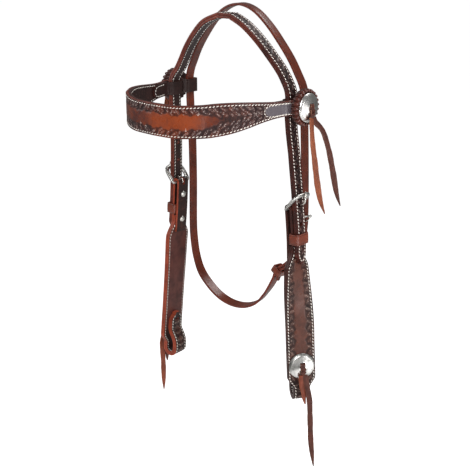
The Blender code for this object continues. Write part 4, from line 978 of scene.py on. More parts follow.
def leaf_shapes(s, w, leaves):
    """How far each point lies inside a leaf (0 outside, 1 on its ridge) and its veins."""
    inside = np.zeros(len(s))
    veins = np.zeros(len(s))
    for at, across, turn, length, width in leaves:
        near = np.nonzero((np.abs(s - at) < length) & (np.abs(w - across) < length))[0]
        if not len(near):
            continue
        dx, dy = s[near] - at, w[near] - across
        along = dx * cos(turn) + dy * sin(turn)
        sideways = -dx * sin(turn) + dy * cos(turn)
        share = along / length + 0.5
        ok = (share > 0.0) & (share < 1.0)
        reach = width / 2 * np.sin(np.pi * np.clip(share, 0, 1) ** 0.75) ** 0.8 + 1e-9
        fill = np.where(ok, 1 - np.abs(sideways) / reach, 0.0).clip(0.0, 1.0)
        better = fill > inside[near]
        spot = near[better]
        inside[spot] = fill[better]
        rib = np.exp(-(sideways[better] / 0.00035) ** 2)
        slant = along[better] - 1.1 * np.abs(sideways[better])
        side_ribs = 0.6 * np.clip(np.cos(slant / 0.0021 * 2 * np.pi), 0, 1)
        veins[spot] = np.maximum(rib, side_ribs * (fill[better] < 0.8))
    return inside, veins


DIMPLE = 0.0011


def speckle(s, w):
    """The dimples of the background tool, the same on every run."""
    wander = 1.7 * np.sin(w / DIMPLE * 3.1)
    return 0.5 + 0.5 * np.sin(s / DIMPLE * 2 * np.pi + wander) * np.sin(w / DIMPLE * 2 * np.pi)


def groove(distance, width, depth):
    return -depth * np.exp(-(distance / width) ** 2)


def carved(s, w, half, leaves, ground, sewn=1.0):
    """Height and masks from leaves on a ground that is 1 where beaten down; sewn is 1 at the stitches."""
    inside, veins = leaf_shapes(s, w, leaves)
    raised = ease(inside / 0.30)
    beaten = ground * (1 - raised)
    dots = speckle(s, w)
    height = -CARVE_DEPTH * beaten * (0.75 + 0.35 * dots) - 0.00016 * veins * raised * ground
    height += groove(half - np.abs(w) - EDGE_TO_STITCH, *STITCH_GROOVE) * sewn
    dark = np.clip(beaten * (0.72 + 0.4 * dots) + 0.55 * veins * raised * ground, 0, 1)
    # painted highlight: the ridges of the raised leaves are made pale, partly as rubbing and partly as glints
    # of light
    rubbed_and_highlight = ground * raised * ease((inside - 0.45) / 0.4) * (1 - veins)
    return height, dark, rubbed_and_highlight


print("carving helpers ready")

# %% [markdown]
# ## The crown strap
#
# The crown strap goes over the poll and ends in two punched billets, one for each cheek buckle. The real one
# is two plies with small leaves carved between two rows of stitches. The plies are made one after the
# other from the same line, so they touch along their whole length and share their stitches.

# %% Outline of the crown strap
def point_share(to_tip, point_length):
    share = np.clip(np.asarray(to_tip) / point_length, 0.0, 1.0)
    return 0.30 + 0.70 * ease(share)


crown_tip = ROSETTE_LEVEL - BILLET_DROP
crown["half"] = CROWN_WIDTH / 2 * point_share(crown["place"][:, 2] - crown_tip, BILLET_POINT)
HOLE_ABOVE_BAR = TONGUE_HOOK_RADIUS + TONGUE_RADIUS
hole_drops = [BAR_DROP - HOLE_ABOVE_BAR - k * BILLET_HOLE_PITCH for k in range(-1, 4)]
billet_holes = [
    (length_at(crown, 2, ROSETTE_LEVEL - drop, first), 0.0) for drop in hole_drops for first in (True, False)
]
crown_length = float(crown["at"][-1])
print("billets have", len(billet_holes), "holes")


# %% Carve and lay the crown strap
def crown_carving(s, w, half):
    leaves = []
    for start, end in ((0.016, crown_length / 2), (crown_length / 2 + 0.004, crown_length - 0.012)):
        for k in range(int((end - start) / 0.0062) + 1):
            sign = 1 if k % 2 else -1
            leaves.append((start + k * 0.0062, sign * 0.0024, sign * 0.62, 0.0088, 0.0036))
    ground = ease((half - np.abs(w) - 0.0031) / 0.0006)
    return carved(s, w, half, leaves, ground)


def crown_tone(s, w, half):
    z = np.interp(s, crown["at"], crown["place"][:, 2])
    low = between(-z, -ROSETTE_LEVEL + 0.10, -ROSETTE_LEVEL + 0.19)
    return 0.80 - 0.25 * low


def make_crown_ply(name, node, offset, grain, carving, slot):
    piece = cut_strap(name, crown, PLY_THICK, FINE_GRID if carving else PLAIN_GRID)
    punch(piece, round_punch(billet_holes, BILLET_HOLE / 2))
    if carving:
        carve(piece, crown, carving, crown_tone)
    lay(piece, crown, offset, grain)
    own(piece, "straps", slot, node)
    return piece


crown_outer = make_crown_ply(
    "crown_strap_carved_ply", "crown_strap_outer", -PLY_OFFSET, -1, crown_carving, "tooled_leather"
)
crown_lining = make_crown_ply(
    "crown_strap_back_ply", "crown_strap_lining", PLY_OFFSET, 1, None, "lining_leather"
)
sew("crown_strap_stitches", crown, through_rows(crown, 0.0032), "straps", grain=-1)
lining_pieces = [crown_lining]

# %% [markdown]
# ## The browband
#
# The browband is the showpiece: broad in front, narrow where it slips under the rosettes. A smooth oiled
# centre is framed by two bands of leaves that grow from the stitched edges, and they close over the whole
# width before the plain panel beside each rosette. The loop for the crown strap is sewn in behind that
# panel, which is why the stitches there run in a long U.

# %% Outline of the browband
forward = (CROWN_BACKSET - CROWN_WIDTH - browband["place"][:, 1]) / BROWBAND_REACH
browband["half"] = (
    BROWBAND_END_WIDTH + (BROWBAND_WIDTH - BROWBAND_END_WIDTH) * ease(forward / browband_taper_share)
) / 2
browband_length = float(browband["at"][-1])
browband_middle = browband_length / 2
panel_end = length_at(browband, 1, CROWN_BACKSET - CROWN_WIDTH / 2 - LOOP_TAIL)
lace_slots = []
for _, side in SIDES:
    y = CROWN_BACKSET + ROSETTE_BACK[side]
    lace_slots.append((length_at(browband, 1, y, side > 0), SLOT_OFFSET))
print("plain panels reach", round(panel_end * 1000), "mm from each end")


# %% Panels and leaves of the browband
def from_end(s):
    return np.minimum(s, browband_length - s)


def panel_mask(s, w):
    """1 inside the plain panel, which ends in a half round."""
    centre = panel_end - 0.010
    reach = np.hypot(np.maximum(from_end(s) - centre, 0.0) * 0.75, w)
    return 1 - ease((reach - 0.0058) / 0.0010)


LEAF_BAND = 0.0104
BROWBAND_LEAF_PITCH = 0.0075


def band_depth(s):
    """How deep the leaves grow from each edge; near the panels they meet."""
    x = s - browband_middle
    lobes = 0.0013 * np.abs(np.sin(np.pi * x / 0.024)) + 0.0008 * np.sin(x / 0.0031)
    closing = ease((np.abs(x) - 0.066) / 0.046)
    return LEAF_BAND + lobes + 0.0005 * np.sin(x / 0.0013) + 0.013 * closing


def browband_leaves():
    leaves = []
    for k in range(int(browband_length / BROWBAND_LEAF_PITCH)):
        at = 0.03 + k * BROWBAND_LEAF_PITCH
        half = float(np.interp(at, browband["at"], browband["half"]))
        heading = 1 if at > browband_middle else -1
        for edge in (1, -1):
            lean = heading * edge * (-0.55 if k % 2 else -0.95)
            leaves.append((at + 0.0012 * (k % 3), edge * (half - 0.0058), lean, 0.0098, 0.0044))
            if k % 2:
                leaves.append((at + 0.003, edge * (half - 0.0098), lean * 0.45, 0.0066, 0.0030))
            if abs(at - browband_middle) > 0.085:
                leaves.append((at, edge * (half - 0.0125), lean * 0.8, 0.0092, 0.0040))
    return leaves


# %% Small flowers, carving and tone of the browband
FLOWERS = (
    (-0.048, 0.0088), (-0.031, -0.0115), (0.012, 0.0098), (0.021, 0.0072), (0.037, -0.0118),
    (0.056, 0.0105), (-0.064, -0.0095), (-0.010, -0.0128),
)


def flower_mask(s, w):
    mask = np.zeros(len(s))
    for at, across in FLOWERS:
        dx, dy = s - browband_middle - at, w - across
        reach, angle = np.hypot(dx, dy), np.arctan2(dy, dx)
        petals = 0.0011 + 0.0007 * np.cos(4 * angle)
        mask = np.maximum(mask, 1 - ease((reach - petals) / 0.0004))
    return mask


def browband_carving(s, w, half):
    panel = panel_mask(s, w)
    to_edge = half - np.abs(w)
    ground = ease((to_edge - CARVING_INSET) / 0.0006) * ease((band_depth(s) - to_edge) / 0.0012)
    ground *= 1 - panel
    height, dark, rubbed_and_highlight = carved(s, w, half, browband_leaves(), ground)
    flower = flower_mask(s, w)
    height += groove(band_depth(s) - to_edge, 0.0005, 0.00018) * (1 - panel)
    panel_row = np.hypot(np.maximum(from_end(s) - (panel_end - 0.010), 0.0) * 0.8, w) - 0.0066
    height += groove(panel_row, *STITCH_GROOVE) * (from_end(s) < panel_end + 0.002)
    return height - 0.00012 * panel - 0.0002 * flower, dark * (1 - flower), np.maximum(rubbed_and_highlight, flower)


def browband_tone(s, w, half):
    """Russet in the middle, darker in the leaf bands, at the turns and at the panels; the far half darkens
    from near the middle on, as painted shade where it curves away from the light.
    """
    to_edge = half - np.abs(w)
    rim = 1 - ease((to_edge - 0.0025) / 0.0095)
    leafy = ease((band_depth(s) - to_edge + 0.0012) / 0.0026)
    near_turn = ease((browband_middle - s - 0.048) / 0.040)
    # painted shade: the far half turns away from the light, so it is darkened sooner than the near half
    far_turn_and_shade = 0.80 * ease((s - browband_middle + 0.016) / 0.034)
    return np.clip(0.30 * rim + 0.42 * leafy + 0.85 * np.maximum(near_turn, far_turn_and_shade), 0, 1)


print(len(browband_leaves()), "leaves on the browband")


# %% Cut, carve and lay the browband
def make_browband_ply(name, node, offset, grain, dense):
    piece = cut_strap(name, browband, PLY_THICK, FINE_GRID if dense else PLAIN_GRID)
    for s, w in lace_slots:
        punch(piece, slot_punch(s, grain * w, (SLOT_LENGTH, SLOT_HEIGHT)))
    if dense:
        carve(piece, browband, browband_carving, browband_tone)
        flat = coordinates(piece)
        note(piece, "panel", panel_mask(flat[:, 0], flat[:, 1]) * (flat[:, 2] > 0))
    lay(piece, browband, offset, grain)
    own(piece, "browband", "tooled_leather" if dense else "lining_leather", node)
    return piece


browband_face = make_browband_ply("browband_carved_ply", "browband_outer", -PLY_OFFSET, -1, True)
lining_pieces.append(make_browband_ply("browband_back_ply", "browband_lining", PLY_OFFSET, 1, False))

print("the browband reaches", round(BROWBAND_PAST_CROWN * 1000), "mm past the middle of the crown strap")


# %% Stitch the browband
panel_row = tongue_row(0.026, panel_end, BROWBAND_END_WIDTH / 2 - EDGE_TO_STITCH, PLY_OFFSET + THREAD_LEVEL)
far_panel_row = np.column_stack([browband_length - panel_row[:, 0], panel_row[:, 1:]])
rows = [*through_rows(browband, 0.004), panel_row, far_panel_row]
sew("browband_stitches", browband, rows, "browband", grain=-1)

# %% [markdown]
# ## The browband's loops
#
# A thin strip is sewn inside each end of the browband. It turns round the crown strap, is pinched, and
# turns again round the throatlatch, so both straps run through the browband and keep their places.

# %% Lines of the loops
def browband_loop_places():
    route = browband_half_route()
    inner = strap_line(route, across=(0, 0, 1))
    inset = STRAP / 2 + LIE_GAP + LOOP_LEATHER / 2
    front = -CROWN_WIDTH / 2
    turn_start = CROWN_BACKSET + front - LOOP_OUT * 1.8
    tail_start = CROWN_BACKSET + front - LOOP_TAIL
    tail = [
        Vector(p + inset * t) for p, t in zip(inner["place"], inner["through"])
        if tail_start < p[1] < turn_start
    ]
    pinch = LOOP_OUT - LOOP_LEATHER - LOOP_PINCH_GAP
    throat_in = THROAT_HALF_SPAN - CROWN_HALF_SPAN - PLY / 2 - THROAT_LOOP_SLACK - LOOP_LEATHER / 2
    crown_end = CROWN_WIDTH / 2 + SLIP_GAP
    throat_front = THROAT_BEHIND_CROWN - THROAT_WIDTH / 2 - THROAT_LOOP_SLACK
    throat_end = THROAT_BEHIND_CROWN + THROAT_WIDTH / 2 + THROAT_LOOP_SLACK
    middle = (crown_end + throat_front) / 2
    bend = LOOP_LEATHER
    places = [
        (0.0, front - LOOP_OUT * 1.15), (-LOOP_OUT * 0.8, front - bend * 0.9), (-LOOP_OUT, front + bend),
        (-LOOP_OUT, crown_end - bend), (-LOOP_OUT * 0.78, crown_end + bend * 0.5),
        (-LOOP_OUT * 0.1, crown_end + bend * 1.55), (pinch * 0.75, middle - bend * 0.55), (pinch, middle),
        (pinch * 0.75, middle + bend * 0.55), (-LOOP_OUT * 0.1, throat_front - bend * 1.55),
        (throat_in * 0.8, throat_front - bend * 0.3), (throat_in, throat_front + bend),
        (throat_in, throat_end),
    ]
    radius = (LOOP_OUT - throat_in) / 2
    for k in range(1, 8):
        angle = pi - pi * k / 7
        places.append((LOOP_OUT - radius + radius * cos(angle), throat_end + radius * sin(angle)))
    places += [(LOOP_OUT, throat_front), (LOOP_OUT, crown_end), (LOOP_OUT, front / 2)]
    turned = [Vector((CROWN_HALF_SPAN + out, CROWN_BACKSET + back, ROSETTE_LEVEL)) for out, back in places]
    return smooth_route(list(reversed(tail))[::4] + turned, 0.0012), len(tail) * FINE_STEP


def make_loop(label, side):
    places, tail_length = browband_loop_places()
    route = [Vector((side * p.x, p.y, p.z)) for p in places]
    line = strap_line(route, across=(0, 0, 1))
    to_shoulder = (1 - line["at"] / 0.008).clip(0)
    line["half"] = BROWBAND_END_WIDTH / 2 * np.sqrt(np.clip(1 - to_shoulder**2, 0.03, 1))
    piece = cut_strap(f"{label}_browband_loop_strip", line, LOOP_LEATHER, 0.0012, 0.0005)
    slot_y = CROWN_BACKSET + ROSETTE_BACK[side]
    punch(piece, slot_punch(length_at(line, 1, slot_y, False), SLOT_OFFSET, (SLOT_LENGTH, SLOT_HEIGHT * 1.3)))
    lay(piece, line)
    own(piece, "browband", "lining_leather", f"{label}_browband_loop")
    half = BROWBAND_END_WIDTH / 2 - EDGE_TO_STITCH
    row = tongue_row(max(0.02, tail_length - 0.004), 0.0030, -half, LOOP_LEATHER / 2 - 0.0001)
    sew(f"{label}_browband_loop_stitches", line, [row], "browband", "lining_leather")
    return piece


loop_pieces = [make_loop(label, side) for label, side in SIDES]
print("loops made:", [piece.name for piece in loop_pieces])

# %% [markdown]
# ## The cheeks
#
# Each cheek is folded over its buckle at the top and held there by two small screws. Below, it widens to
# the carved panel, narrows again, turns round the bit loop and comes back up inside as a stitched tab. One
# long outer ply makes all of this, and a lining is stitched in from just under the fold to the tab.

# %% Outlines of the cheeks
def cheek_half(drop):
    wide = float(between(drop, WIDEN_START, WIDEN_END))
    narrow = float(between(drop, NARROW_START, NARROW_END))
    width = CHEEK_TOP_WIDTH + (CHEEK_WIDTH - CHEEK_TOP_WIDTH) * wide
    return (width + (CHEEK_END_WIDTH - CHEEK_WIDTH) * narrow) / 2


def lower_halves(points):
    halves = []
    for drop, out in points:
        if out < CHEEK_OUT - STRAP:
            halves.append(CHEEK_END_WIDTH / 2 * float(point_share(drop - BIT_TAB_DROP, BIT_TAB_POINT)))
        else:
            halves.append(cheek_half(drop))
    return halves


for _, side in SIDES:
    outer_line, lining_line = cheek_outer_lines[side], cheek_lining_lines[side]
    lower = lower_halves(body_points(BAR_DROP))
    top = len(outer_line["place"]) - len(lower)
    outer_line["half"] = np.array([CHEEK_TOP_WIDTH / 2] * top + lower)
    lining_line["half"] = np.array(lower_halves(body_points(LINING_START)))
BODY_START = cheek_outer_lines[1]["body_start"]
TAIL_LENGTH = FOLD_TAIL_DROP - BAR_DROP
print("the fold begins", round(TAIL_LENGTH * 1000), "mm from the turned end")


def at_drop(line, drop, first=True, start=-1.0):
    """The length at which a cheek's line passes a drop: on its way down, or behind on its way up."""
    return length_at(line, 2, ROSETTE_LEVEL - drop, first, start)


# %% Leaves and tone of the cheeks
CHEEK_PITCH = 0.0175


def cheek_band(s):
    x = s - BODY_START
    lobes = 0.0018 * np.abs(np.sin(np.pi * x / CHEEK_PITCH)) + 0.0010 * np.sin(x / 0.0031)
    return LEAF_BAND + lobes + 0.0006 * np.sin(x / 0.0013 + 1.0)


def cheek_leaves(line):
    leaves = []
    start = at_drop(line, WIDEN_START + 0.004, start=BODY_START)
    end = float(line["at"][-1]) - 0.006
    count = int((end - start) / (CHEEK_PITCH / 2))
    for k in range(count):
        at = start + k * CHEEK_PITCH / 2
        half = float(half_at(line, at))
        for edge in (1, -1):
            reach = half - 0.0070
            if k % 2:
                leaves.append((at, edge * reach, edge * 1.15, 0.0118, 0.0058))
            else:
                leaves.append((at - 0.0010, edge * (reach - 0.0002), edge * -0.55, 0.0104, 0.0046))
                leaves.append((at + 0.0022, edge * (reach + 0.0022), edge * 0.45, 0.0072, 0.0032))
            if half < 0.0135 and not k % 2:
                leaves.append((at, 0.0, 0.3 * edge, 0.0090, 0.0040))
    return leaves


def cheek_carving(line):
    leaves = cheek_leaves(line)
    first = at_drop(line, WIDEN_START - 0.002, start=BODY_START)
    sewn = at_drop(line, LINING_START, start=BODY_START)

    def carving(s, w, half):
        to_edge = half - np.abs(w)
        ground = ease((to_edge - CARVING_INSET) / 0.0006) * ease((cheek_band(s) - to_edge) / 0.0012)
        ground = ground * ease((s - first) / 0.004)
        height, dark, rubbed_and_highlight = carved(s, w, half, leaves, ground, s > sewn)
        height += groove(cheek_band(s) - to_edge, 0.0005, 0.00012) * (s > first)
        return height, dark, 0.8 * rubbed_and_highlight

    return carving


def cheek_tone(line):
    first = at_drop(line, WIDEN_START, start=BODY_START)

    def tone(s, w, half):
        to_edge = half - np.abs(w)
        rim = 1 - ease((to_edge - 0.0020) / 0.0110)
        leafy = ease((cheek_band(s) - to_edge + 0.0014) / 0.0030)
        loop = ease((s - at_drop(line, NARROW_START, start=BODY_START)) / 0.02)
        top = 1 - ease((s - first) / 0.02)
        return np.clip(0.12 + 0.42 * rim + 0.26 * leafy + 0.35 * loop + 0.35 * top, 0, 1)

    return tone


print(len(cheek_leaves(cheek_outer_lines[1])), "leaves on each cheek")


# %% Cut, carve, lay and stitch the cheeks
def punch_concho_slots(piece, line, start):
    """The slots for the lace: one in the cheek, and one in the tab behind it."""
    for first in (True, False):
        s = at_drop(line, CONCHO_DROP - SLOT_OFFSET, first, start)
        punch(piece, slot_punch(s, 0, (SLOT_HEIGHT, SLOT_LENGTH)))


def make_cheek(label, side):
    line, lining_line = cheek_outer_lines[side], cheek_lining_lines[side]
    face = cut_strap(f"{label}_cheek_carved_ply", line, PLY_THICK, 0.0009)
    fold_middle = TAIL_LENGTH + pi * FOLD_RADIUS / 2
    punch(face, slot_punch(fold_middle, 0, (0.0205, 2 * TONGUE_RADIUS + 4 * LIE_GAP)))
    punch_concho_slots(face, line, BODY_START + 0.1)
    carve(face, line, cheek_carving(line), cheek_tone(line))
    lay(face, line)
    own(face, "straps", "tooled_leather", f"{label}_cheek_outer")
    back = cut_strap(f"{label}_cheek_back_ply", lining_line, PLY_THICK, 0.0018)
    punch_concho_slots(back, lining_line, 0.1)
    flat = coordinates(back)
    # painted shade: the lining is darkened inside the bit loop, where shade falls
    loop_shade_start = at_drop(lining_line, CHEEK_DROP - 0.060)
    note(back, "dark_fill_and_painted_shade", 0.85 * ease((flat[:, 0] - loop_shade_start) / 0.02))
    lay(back, lining_line, grain=-1)
    own(back, "straps", "lining_leather", f"{label}_cheek_lining")
    sewn = at_drop(line, LINING_START + 0.001, start=BODY_START)
    rows = edge_rows(line, sewn, float(line["at"][-1]) - 0.004, THREAD_LEVEL)
    sew(f"{label}_cheek_stitches", line, rows, "straps")
    rows = edge_rows(lining_line, 0.001, float(lining_line["at"][-1]) - 0.004, THREAD_LEVEL)
    sew(f"{label}_cheek_back_stitches", lining_line, rows, "straps", "lining_leather", -1)
    return face, back


cheeks = [make_cheek(label, side) for label, side in SIDES]
cheek_faces = [face for face, _ in cheeks]
lining_pieces += [back for _, back in cheeks]
print("cheeks made:", [piece.name for piece in cheek_faces])

# %% [markdown]
# ## The throatlatch
#
# The throatlatch is one plain strap, oiled and rubbed round at the edges, with a crease pressed along both
# sides. It comes down from the near browband loop to its own small buckle, and its billet goes on through
# the keeper.

# %% Cut, punch, crease and lay the throatlatch
throat_length = float(throatlatch["at"][-1])
throatlatch["half"] = THROAT_WIDTH / 2 * point_share(throat_length - throatlatch["at"], BILLET_POINT)
throat_bar_at = THROAT_TAIL + pi * THROAT_FOLD / 2


def strap_crease(s, w, half):
    to_edge = half - np.abs(w)
    height = groove(to_edge - 0.0017, 0.00035, 0.00022) - 0.00035 * (1 - ease(to_edge / 0.0022))
    return height, np.exp(-((to_edge - 0.0017) / 0.0004) ** 2) * 0.8, np.zeros(len(s))


throat_strap = cut_strap("throatlatch_plain_strap", throatlatch, PLY, 0.0013, 0.0008)
throat_hook = THROAT_BAR_RADIUS + LIE_GAP + THROAT_TONGUE_RADIUS
first_hole = throatlatch["billet_start"] - throat_hook - THROAT_TONGUE_RADIUS
holes = [(first_hole + k * THROAT_HOLE_PITCH, 0) for k in range(-1, 3)]
punch(throat_strap, round_punch(holes, THROAT_HOLE / 2))
punch(throat_strap, slot_punch(throat_bar_at, 0, (0.0165, 2 * THROAT_TONGUE_RADIUS + 4 * LIE_GAP)))
carve(throat_strap, throatlatch, strap_crease)
lay(throat_strap, throatlatch)
own(throat_strap, "straps", "plain_strap_leather", "throatlatch_strap")
plain_pieces = [throat_strap]
print("throatlatch has", len(holes), "holes")

# %% [markdown]
# ## Keepers
#
# A keeper is a short band of strap leather that holds the billet's tip down. It is the same kind of strip as
# the straps, bent round a flat box, so the same helper makes it. Its outside is crowned and creased.

# %% Make the keepers
def box_line(placed, low, high, half_width, corner):
    """A line round a box in the (out, across) plane of a frame, that starts behind."""
    points = []
    corners = (high, half_width, 0), (low, half_width, 90), (low, -half_width, 180), (high, -half_width, 270)
    for cx, cy, start in corners:
        mx = cx - copysign(corner, cx - (low + high) / 2)
        my = cy - copysign(corner, cy)
        for k in range(9):
            angle = radians(start + 90 * k / 8)
            points.append((mx + corner * cos(angle), my + corner * sin(angle)))
    back = (low, 0.0)
    points = [back, *points[18:], *points[:18], back]
    fine = []
    for (x, y), (u, v) in zip(points, points[1:]):
        pieces = max(1, round(hypot(u - x, v - y) / 0.001))
        fine += [(x + (u - x) * k / pieces, y + (v - y) * k / pieces) for k in range(pieces)]
    fine.append(back)
    up = placed.to_3x3() @ Vector((0, 0, 1))
    return strap_line([placed @ Vector((x, y, 0)) for x, y in fine], across=up)


def make_band(name, placed, low, high, half_width, wall, height, crown_height=0.0004):
    line = box_line(placed, low - wall / 2, high + wall / 2, half_width + wall / 2, wall * 0.9)
    line["half"] = np.full(len(line["at"]), height / 2)
    piece = cut_strap(name, line, wall, 0.0007, 0.0004)

    def crowned(s, w, half):
        to_edge = half - np.abs(w)
        height_here = groove(to_edge - 0.0016, 0.0003, 0.00016) - crown_height * (np.abs(w) / half) ** 3
        return height_here, np.exp(-((to_edge - 0.0016) / 0.0004) ** 2) * 0.7, np.zeros(len(s))

    carve(piece, line, crowned)
    lay(piece, line)
    return piece


def make_keeper(name, node, body, placed, low, high, half_width, height):
    keeper = make_band(name, placed, low, high, half_width + SLIP_GAP, KEEPER_LEATHER, height)
    own(keeper, body, "plain_strap_leather", node)
    plain_pieces.append(keeper)


for label, side in SIDES:
    make_keeper(
        f"{label}_cheek_keeper_band", f"{label}_cheek_keeper", f"{label}_keeper",
        side_frame(side, KEEPER_DROP, 0.0), TOP_PLY_OUT - PLY / 2 - SLIP_GAP, BILLET_FACE + SLIP_GAP,
        CHEEK_TOP_WIDTH / 2, KEEPER_HEIGHT,
    )
make_keeper(
    "throatlatch_keeper_band", "throatlatch_keeper", "throat_keeper", throat_keeper_frame,
    THROAT_LOWER - PLY / 2 - THROAT_KEEPER_SLACK, PLY / 2 + THROAT_KEEPER_SLACK, THROAT_WIDTH / 2,
    THROAT_KEEPER_HEIGHT,
)
print("keepers made")

# %% [markdown]
# ## Buckles and tongues
#
# The buckles are cast frames of engraved silver alloy on a straight bar, with a bent wire tongue that hooks
# round the bar. A bevelled curve bends such a wire: it becomes a mesh, is pressed a little flat, and is
# then put in its place on the strap.

# %% Helpers for bent wire
def clean_mesh(piece):
    pick(piece)
    bpy.ops.object.mode_set(mode="EDIT")
    bpy.ops.mesh.select_all(action="SELECT")
    bpy.ops.mesh.remove_doubles(threshold=0.00002)
    bpy.ops.mesh.normals_make_consistent(inside=False)
    bpy.ops.object.mode_set(mode="OBJECT")


def put_in_place(piece, placed):
    pick(piece)
    piece.matrix_world = placed
    bpy.ops.object.transform_apply(location=True, rotation=True, scale=True)


def bent_wire(name, route, radii, closed, flatten=1.0):
    """A wire in its own plane, x being the direction in which it is pressed flat."""
    curve = bpy.data.curves.new(name, "CURVE")
    curve.dimensions = "3D"
    curve.bevel_depth = 1.0
    curve.bevel_resolution = 5
    curve.use_fill_caps = not closed
    wire = curve.splines.new("POLY")
    wire.points.add(len(route) - 1)
    for spot, place, radius in zip(wire.points, route, radii):
        spot.co = (*place, 1.0)
        spot.radius = radius
    wire.use_cyclic_u = closed
    piece = bpy.data.objects.new(name, curve)
    bpy.context.scene.collection.objects.link(piece)
    pick(piece)
    bpy.ops.object.convert(target="MESH")
    piece = bpy.context.object
    piece.name = name
    piece.scale = (flatten, 1, 1)
    bpy.ops.object.transform_apply()
    clean_mesh(piece)
    piece.data.shade_smooth()
    return piece


def closed_smooth(rows, step):
    """A closed smooth curve through rows of (across, up, radius)."""
    rows = [Vector(row) for row in rows]
    return spline_through([rows[-1], *rows, *rows[:2]], step)


print("wire helpers ready")


# %% Helpers for buckles and tongues
def frame_rows(half_width, rise, bar_radius, side_radius):
    arch_start = rise - half_width * frame_arch_share
    rows = [(half_width * s, 0.0, bar_radius) for s in (0.0, 0.5)]
    rows += [(half_width * 0.93, 0.0, bar_radius), (half_width, arch_start * 0.35, side_radius)]
    for k in range(9):
        across = cos(pi * k / 8)
        across = copysign(abs(across) ** frame_squareness, across)
        up = sin(pi * k / 8) ** frame_squareness
        rows.append((half_width * across, arch_start + (rise - arch_start) * up, side_radius))
    rows += [(-half_width, arch_start * 0.35, side_radius), (-half_width * 0.93, 0.0, bar_radius)]
    rows.append((-half_width * 0.5, 0.0, bar_radius))
    return rows


CLEAR_LEAN = 0.010  # the frame leans out a little more, to clear the stitches when it is pressed in
FLATTENED = 0.72
silver_pieces = []
nickel_pieces = []


def tongue_route(hook_radius, radius, bar_to_centre, half_strap, apex_out, apex_up, side_radius, overhang):
    route = []
    for k in range(25):
        angle = radians(-60 - 10 * k)
        route.append(Vector((hook_radius * cos(angle), 0, hook_radius * sin(angle))))
    hole_up = hook_radius + radius
    over = apex_out + side_radius * FLATTENED + LIE_GAP + radius
    places = [
        (bar_to_centre - half_strap - radius, hole_up), (bar_to_centre, hole_up),
        (bar_to_centre + half_strap + radius / 2, hole_up + radius / 4),
        (over - radius, hole_up + 3.2 * radius),
        (over + radius * 0.4, apex_up - radius), (over + radius * 0.8, apex_up + overhang),
    ]
    shaft = smooth_route([route[-1], *[Vector((out, 0, up)) for out, up in places]], 0.0008)
    return route + shaft[1:]


def make_buckle(
    name, node, body, pivot, half_width, rise, to_centre, half_strap, bar_radius, side_radius, hook, pin,
    overhang,
):
    """A frame that leans on its bar, and its tongue; to_centre is from the bar to the billet's middle."""
    out = to_centre + half_strap + FRAME_APEX_GAP + side_radius
    lean, length = atan2(out, rise) + CLEAR_LEAN, hypot(out, rise)
    fine = closed_smooth(frame_rows(half_width, length, bar_radius, side_radius), 0.0009)
    route = [(0, p.x, p.y) for p in fine]
    piece = bent_wire(f"{name}_buckle", route, [p.z for p in fine], True, FLATTENED)
    put_in_place(piece, pivot @ Matrix.Rotation(lean, 4, "Y"))
    own(piece, f"{body}_buckle", "engraved_silver", f"{node}_frame")
    silver_pieces.append(piece)
    route = tongue_route(hook, pin, to_centre, half_strap, out, rise, side_radius, overhang)
    last = len(route) - 6
    radii = [pin * (1.0 - 0.10 * max(0, i - last)) for i in range(len(route))]
    piece = bent_wire(f"{name}_buckle_pin", [tuple(p) for p in route], radii, False)
    put_in_place(piece, pivot)
    own(piece, f"{body}_tongue", "nickel_plate", f"{node}_tongue")
    nickel_pieces.append(piece)


print("the frames lean out by", round(degrees(CLEAR_LEAN), 1), "degrees more")


# %% Bend the buckles and tongues
for label, side in SIDES:
    make_buckle(
        f"{label}_cheek", f"{label}_buckle", label, side_frame(side, BAR_DROP, BAR_OUT), FRAME_HALF_WIDTH,
        FRAME_APEX_RISE, -BAR_OUT, BILLET_FACE, BAR_RADIUS, FRAME_RADIUS, TONGUE_HOOK_RADIUS,
        TONGUE_RADIUS, TONGUE_OVERHANG,
    )
make_buckle(
    "throatlatch", "throatlatch_buckle", "throat",
    throat_buckle_frame @ Matrix.Translation((THROAT_BAR, 0, 0)), THROAT_FRAME_HALF_WIDTH,
    THROAT_FRAME_RISE, -THROAT_BAR, PLY / 2, THROAT_BAR_RADIUS, THROAT_BAR_RADIUS, throat_hook,
    THROAT_TONGUE_RADIUS, TONGUE_OVERHANG * 0.6,
)
print("buckles:", [piece.name for piece in silver_pieces])

# %% [markdown]
# ## Conchos, rosettes and screw heads
#
# All of these are turned shapes. Each one starts as a short cylinder. Its top face is inset and lifted
# again and again to raise a dome, and a ring of it can be lowered to make a groove.

# %% Helper for domed pieces
def raised_disc(name, radius, thick, steps, sides):
    """steps are (radius, height) of the face's rings, from the rim inwards; its face looks along z."""
    start_fresh()
    bpy.ops.mesh.primitive_cylinder_add(
        vertices=sides, radius=radius, depth=thick, location=(0, 0, thick / 2)
    )
    piece = bpy.context.object
    piece.name = name
    bpy.ops.object.transform_apply()
    bpy.ops.object.mode_set(mode="EDIT")
    bpy.ops.mesh.select_mode(type="FACE")
    bpy.ops.mesh.select_all(action="DESELECT")
    work = bmesh.from_edit_mesh(piece.data)
    top = max(work.faces, key=lambda face: face.calc_center_median().z)
    top.select_set(True)
    work.faces.active = top
    bmesh.update_edit_mesh(piece.data)
    here, level = radius, thick
    for ring, height in steps:
        bpy.ops.mesh.inset(thickness=(here - ring) * cos(pi / sides), depth=height - level)
        here, level = ring, height
    bpy.ops.object.mode_set(mode="OBJECT")
    piece.data.shade_smooth()
    piece.data.set_sharp_from_angle(angle=radians(45))
    return piece


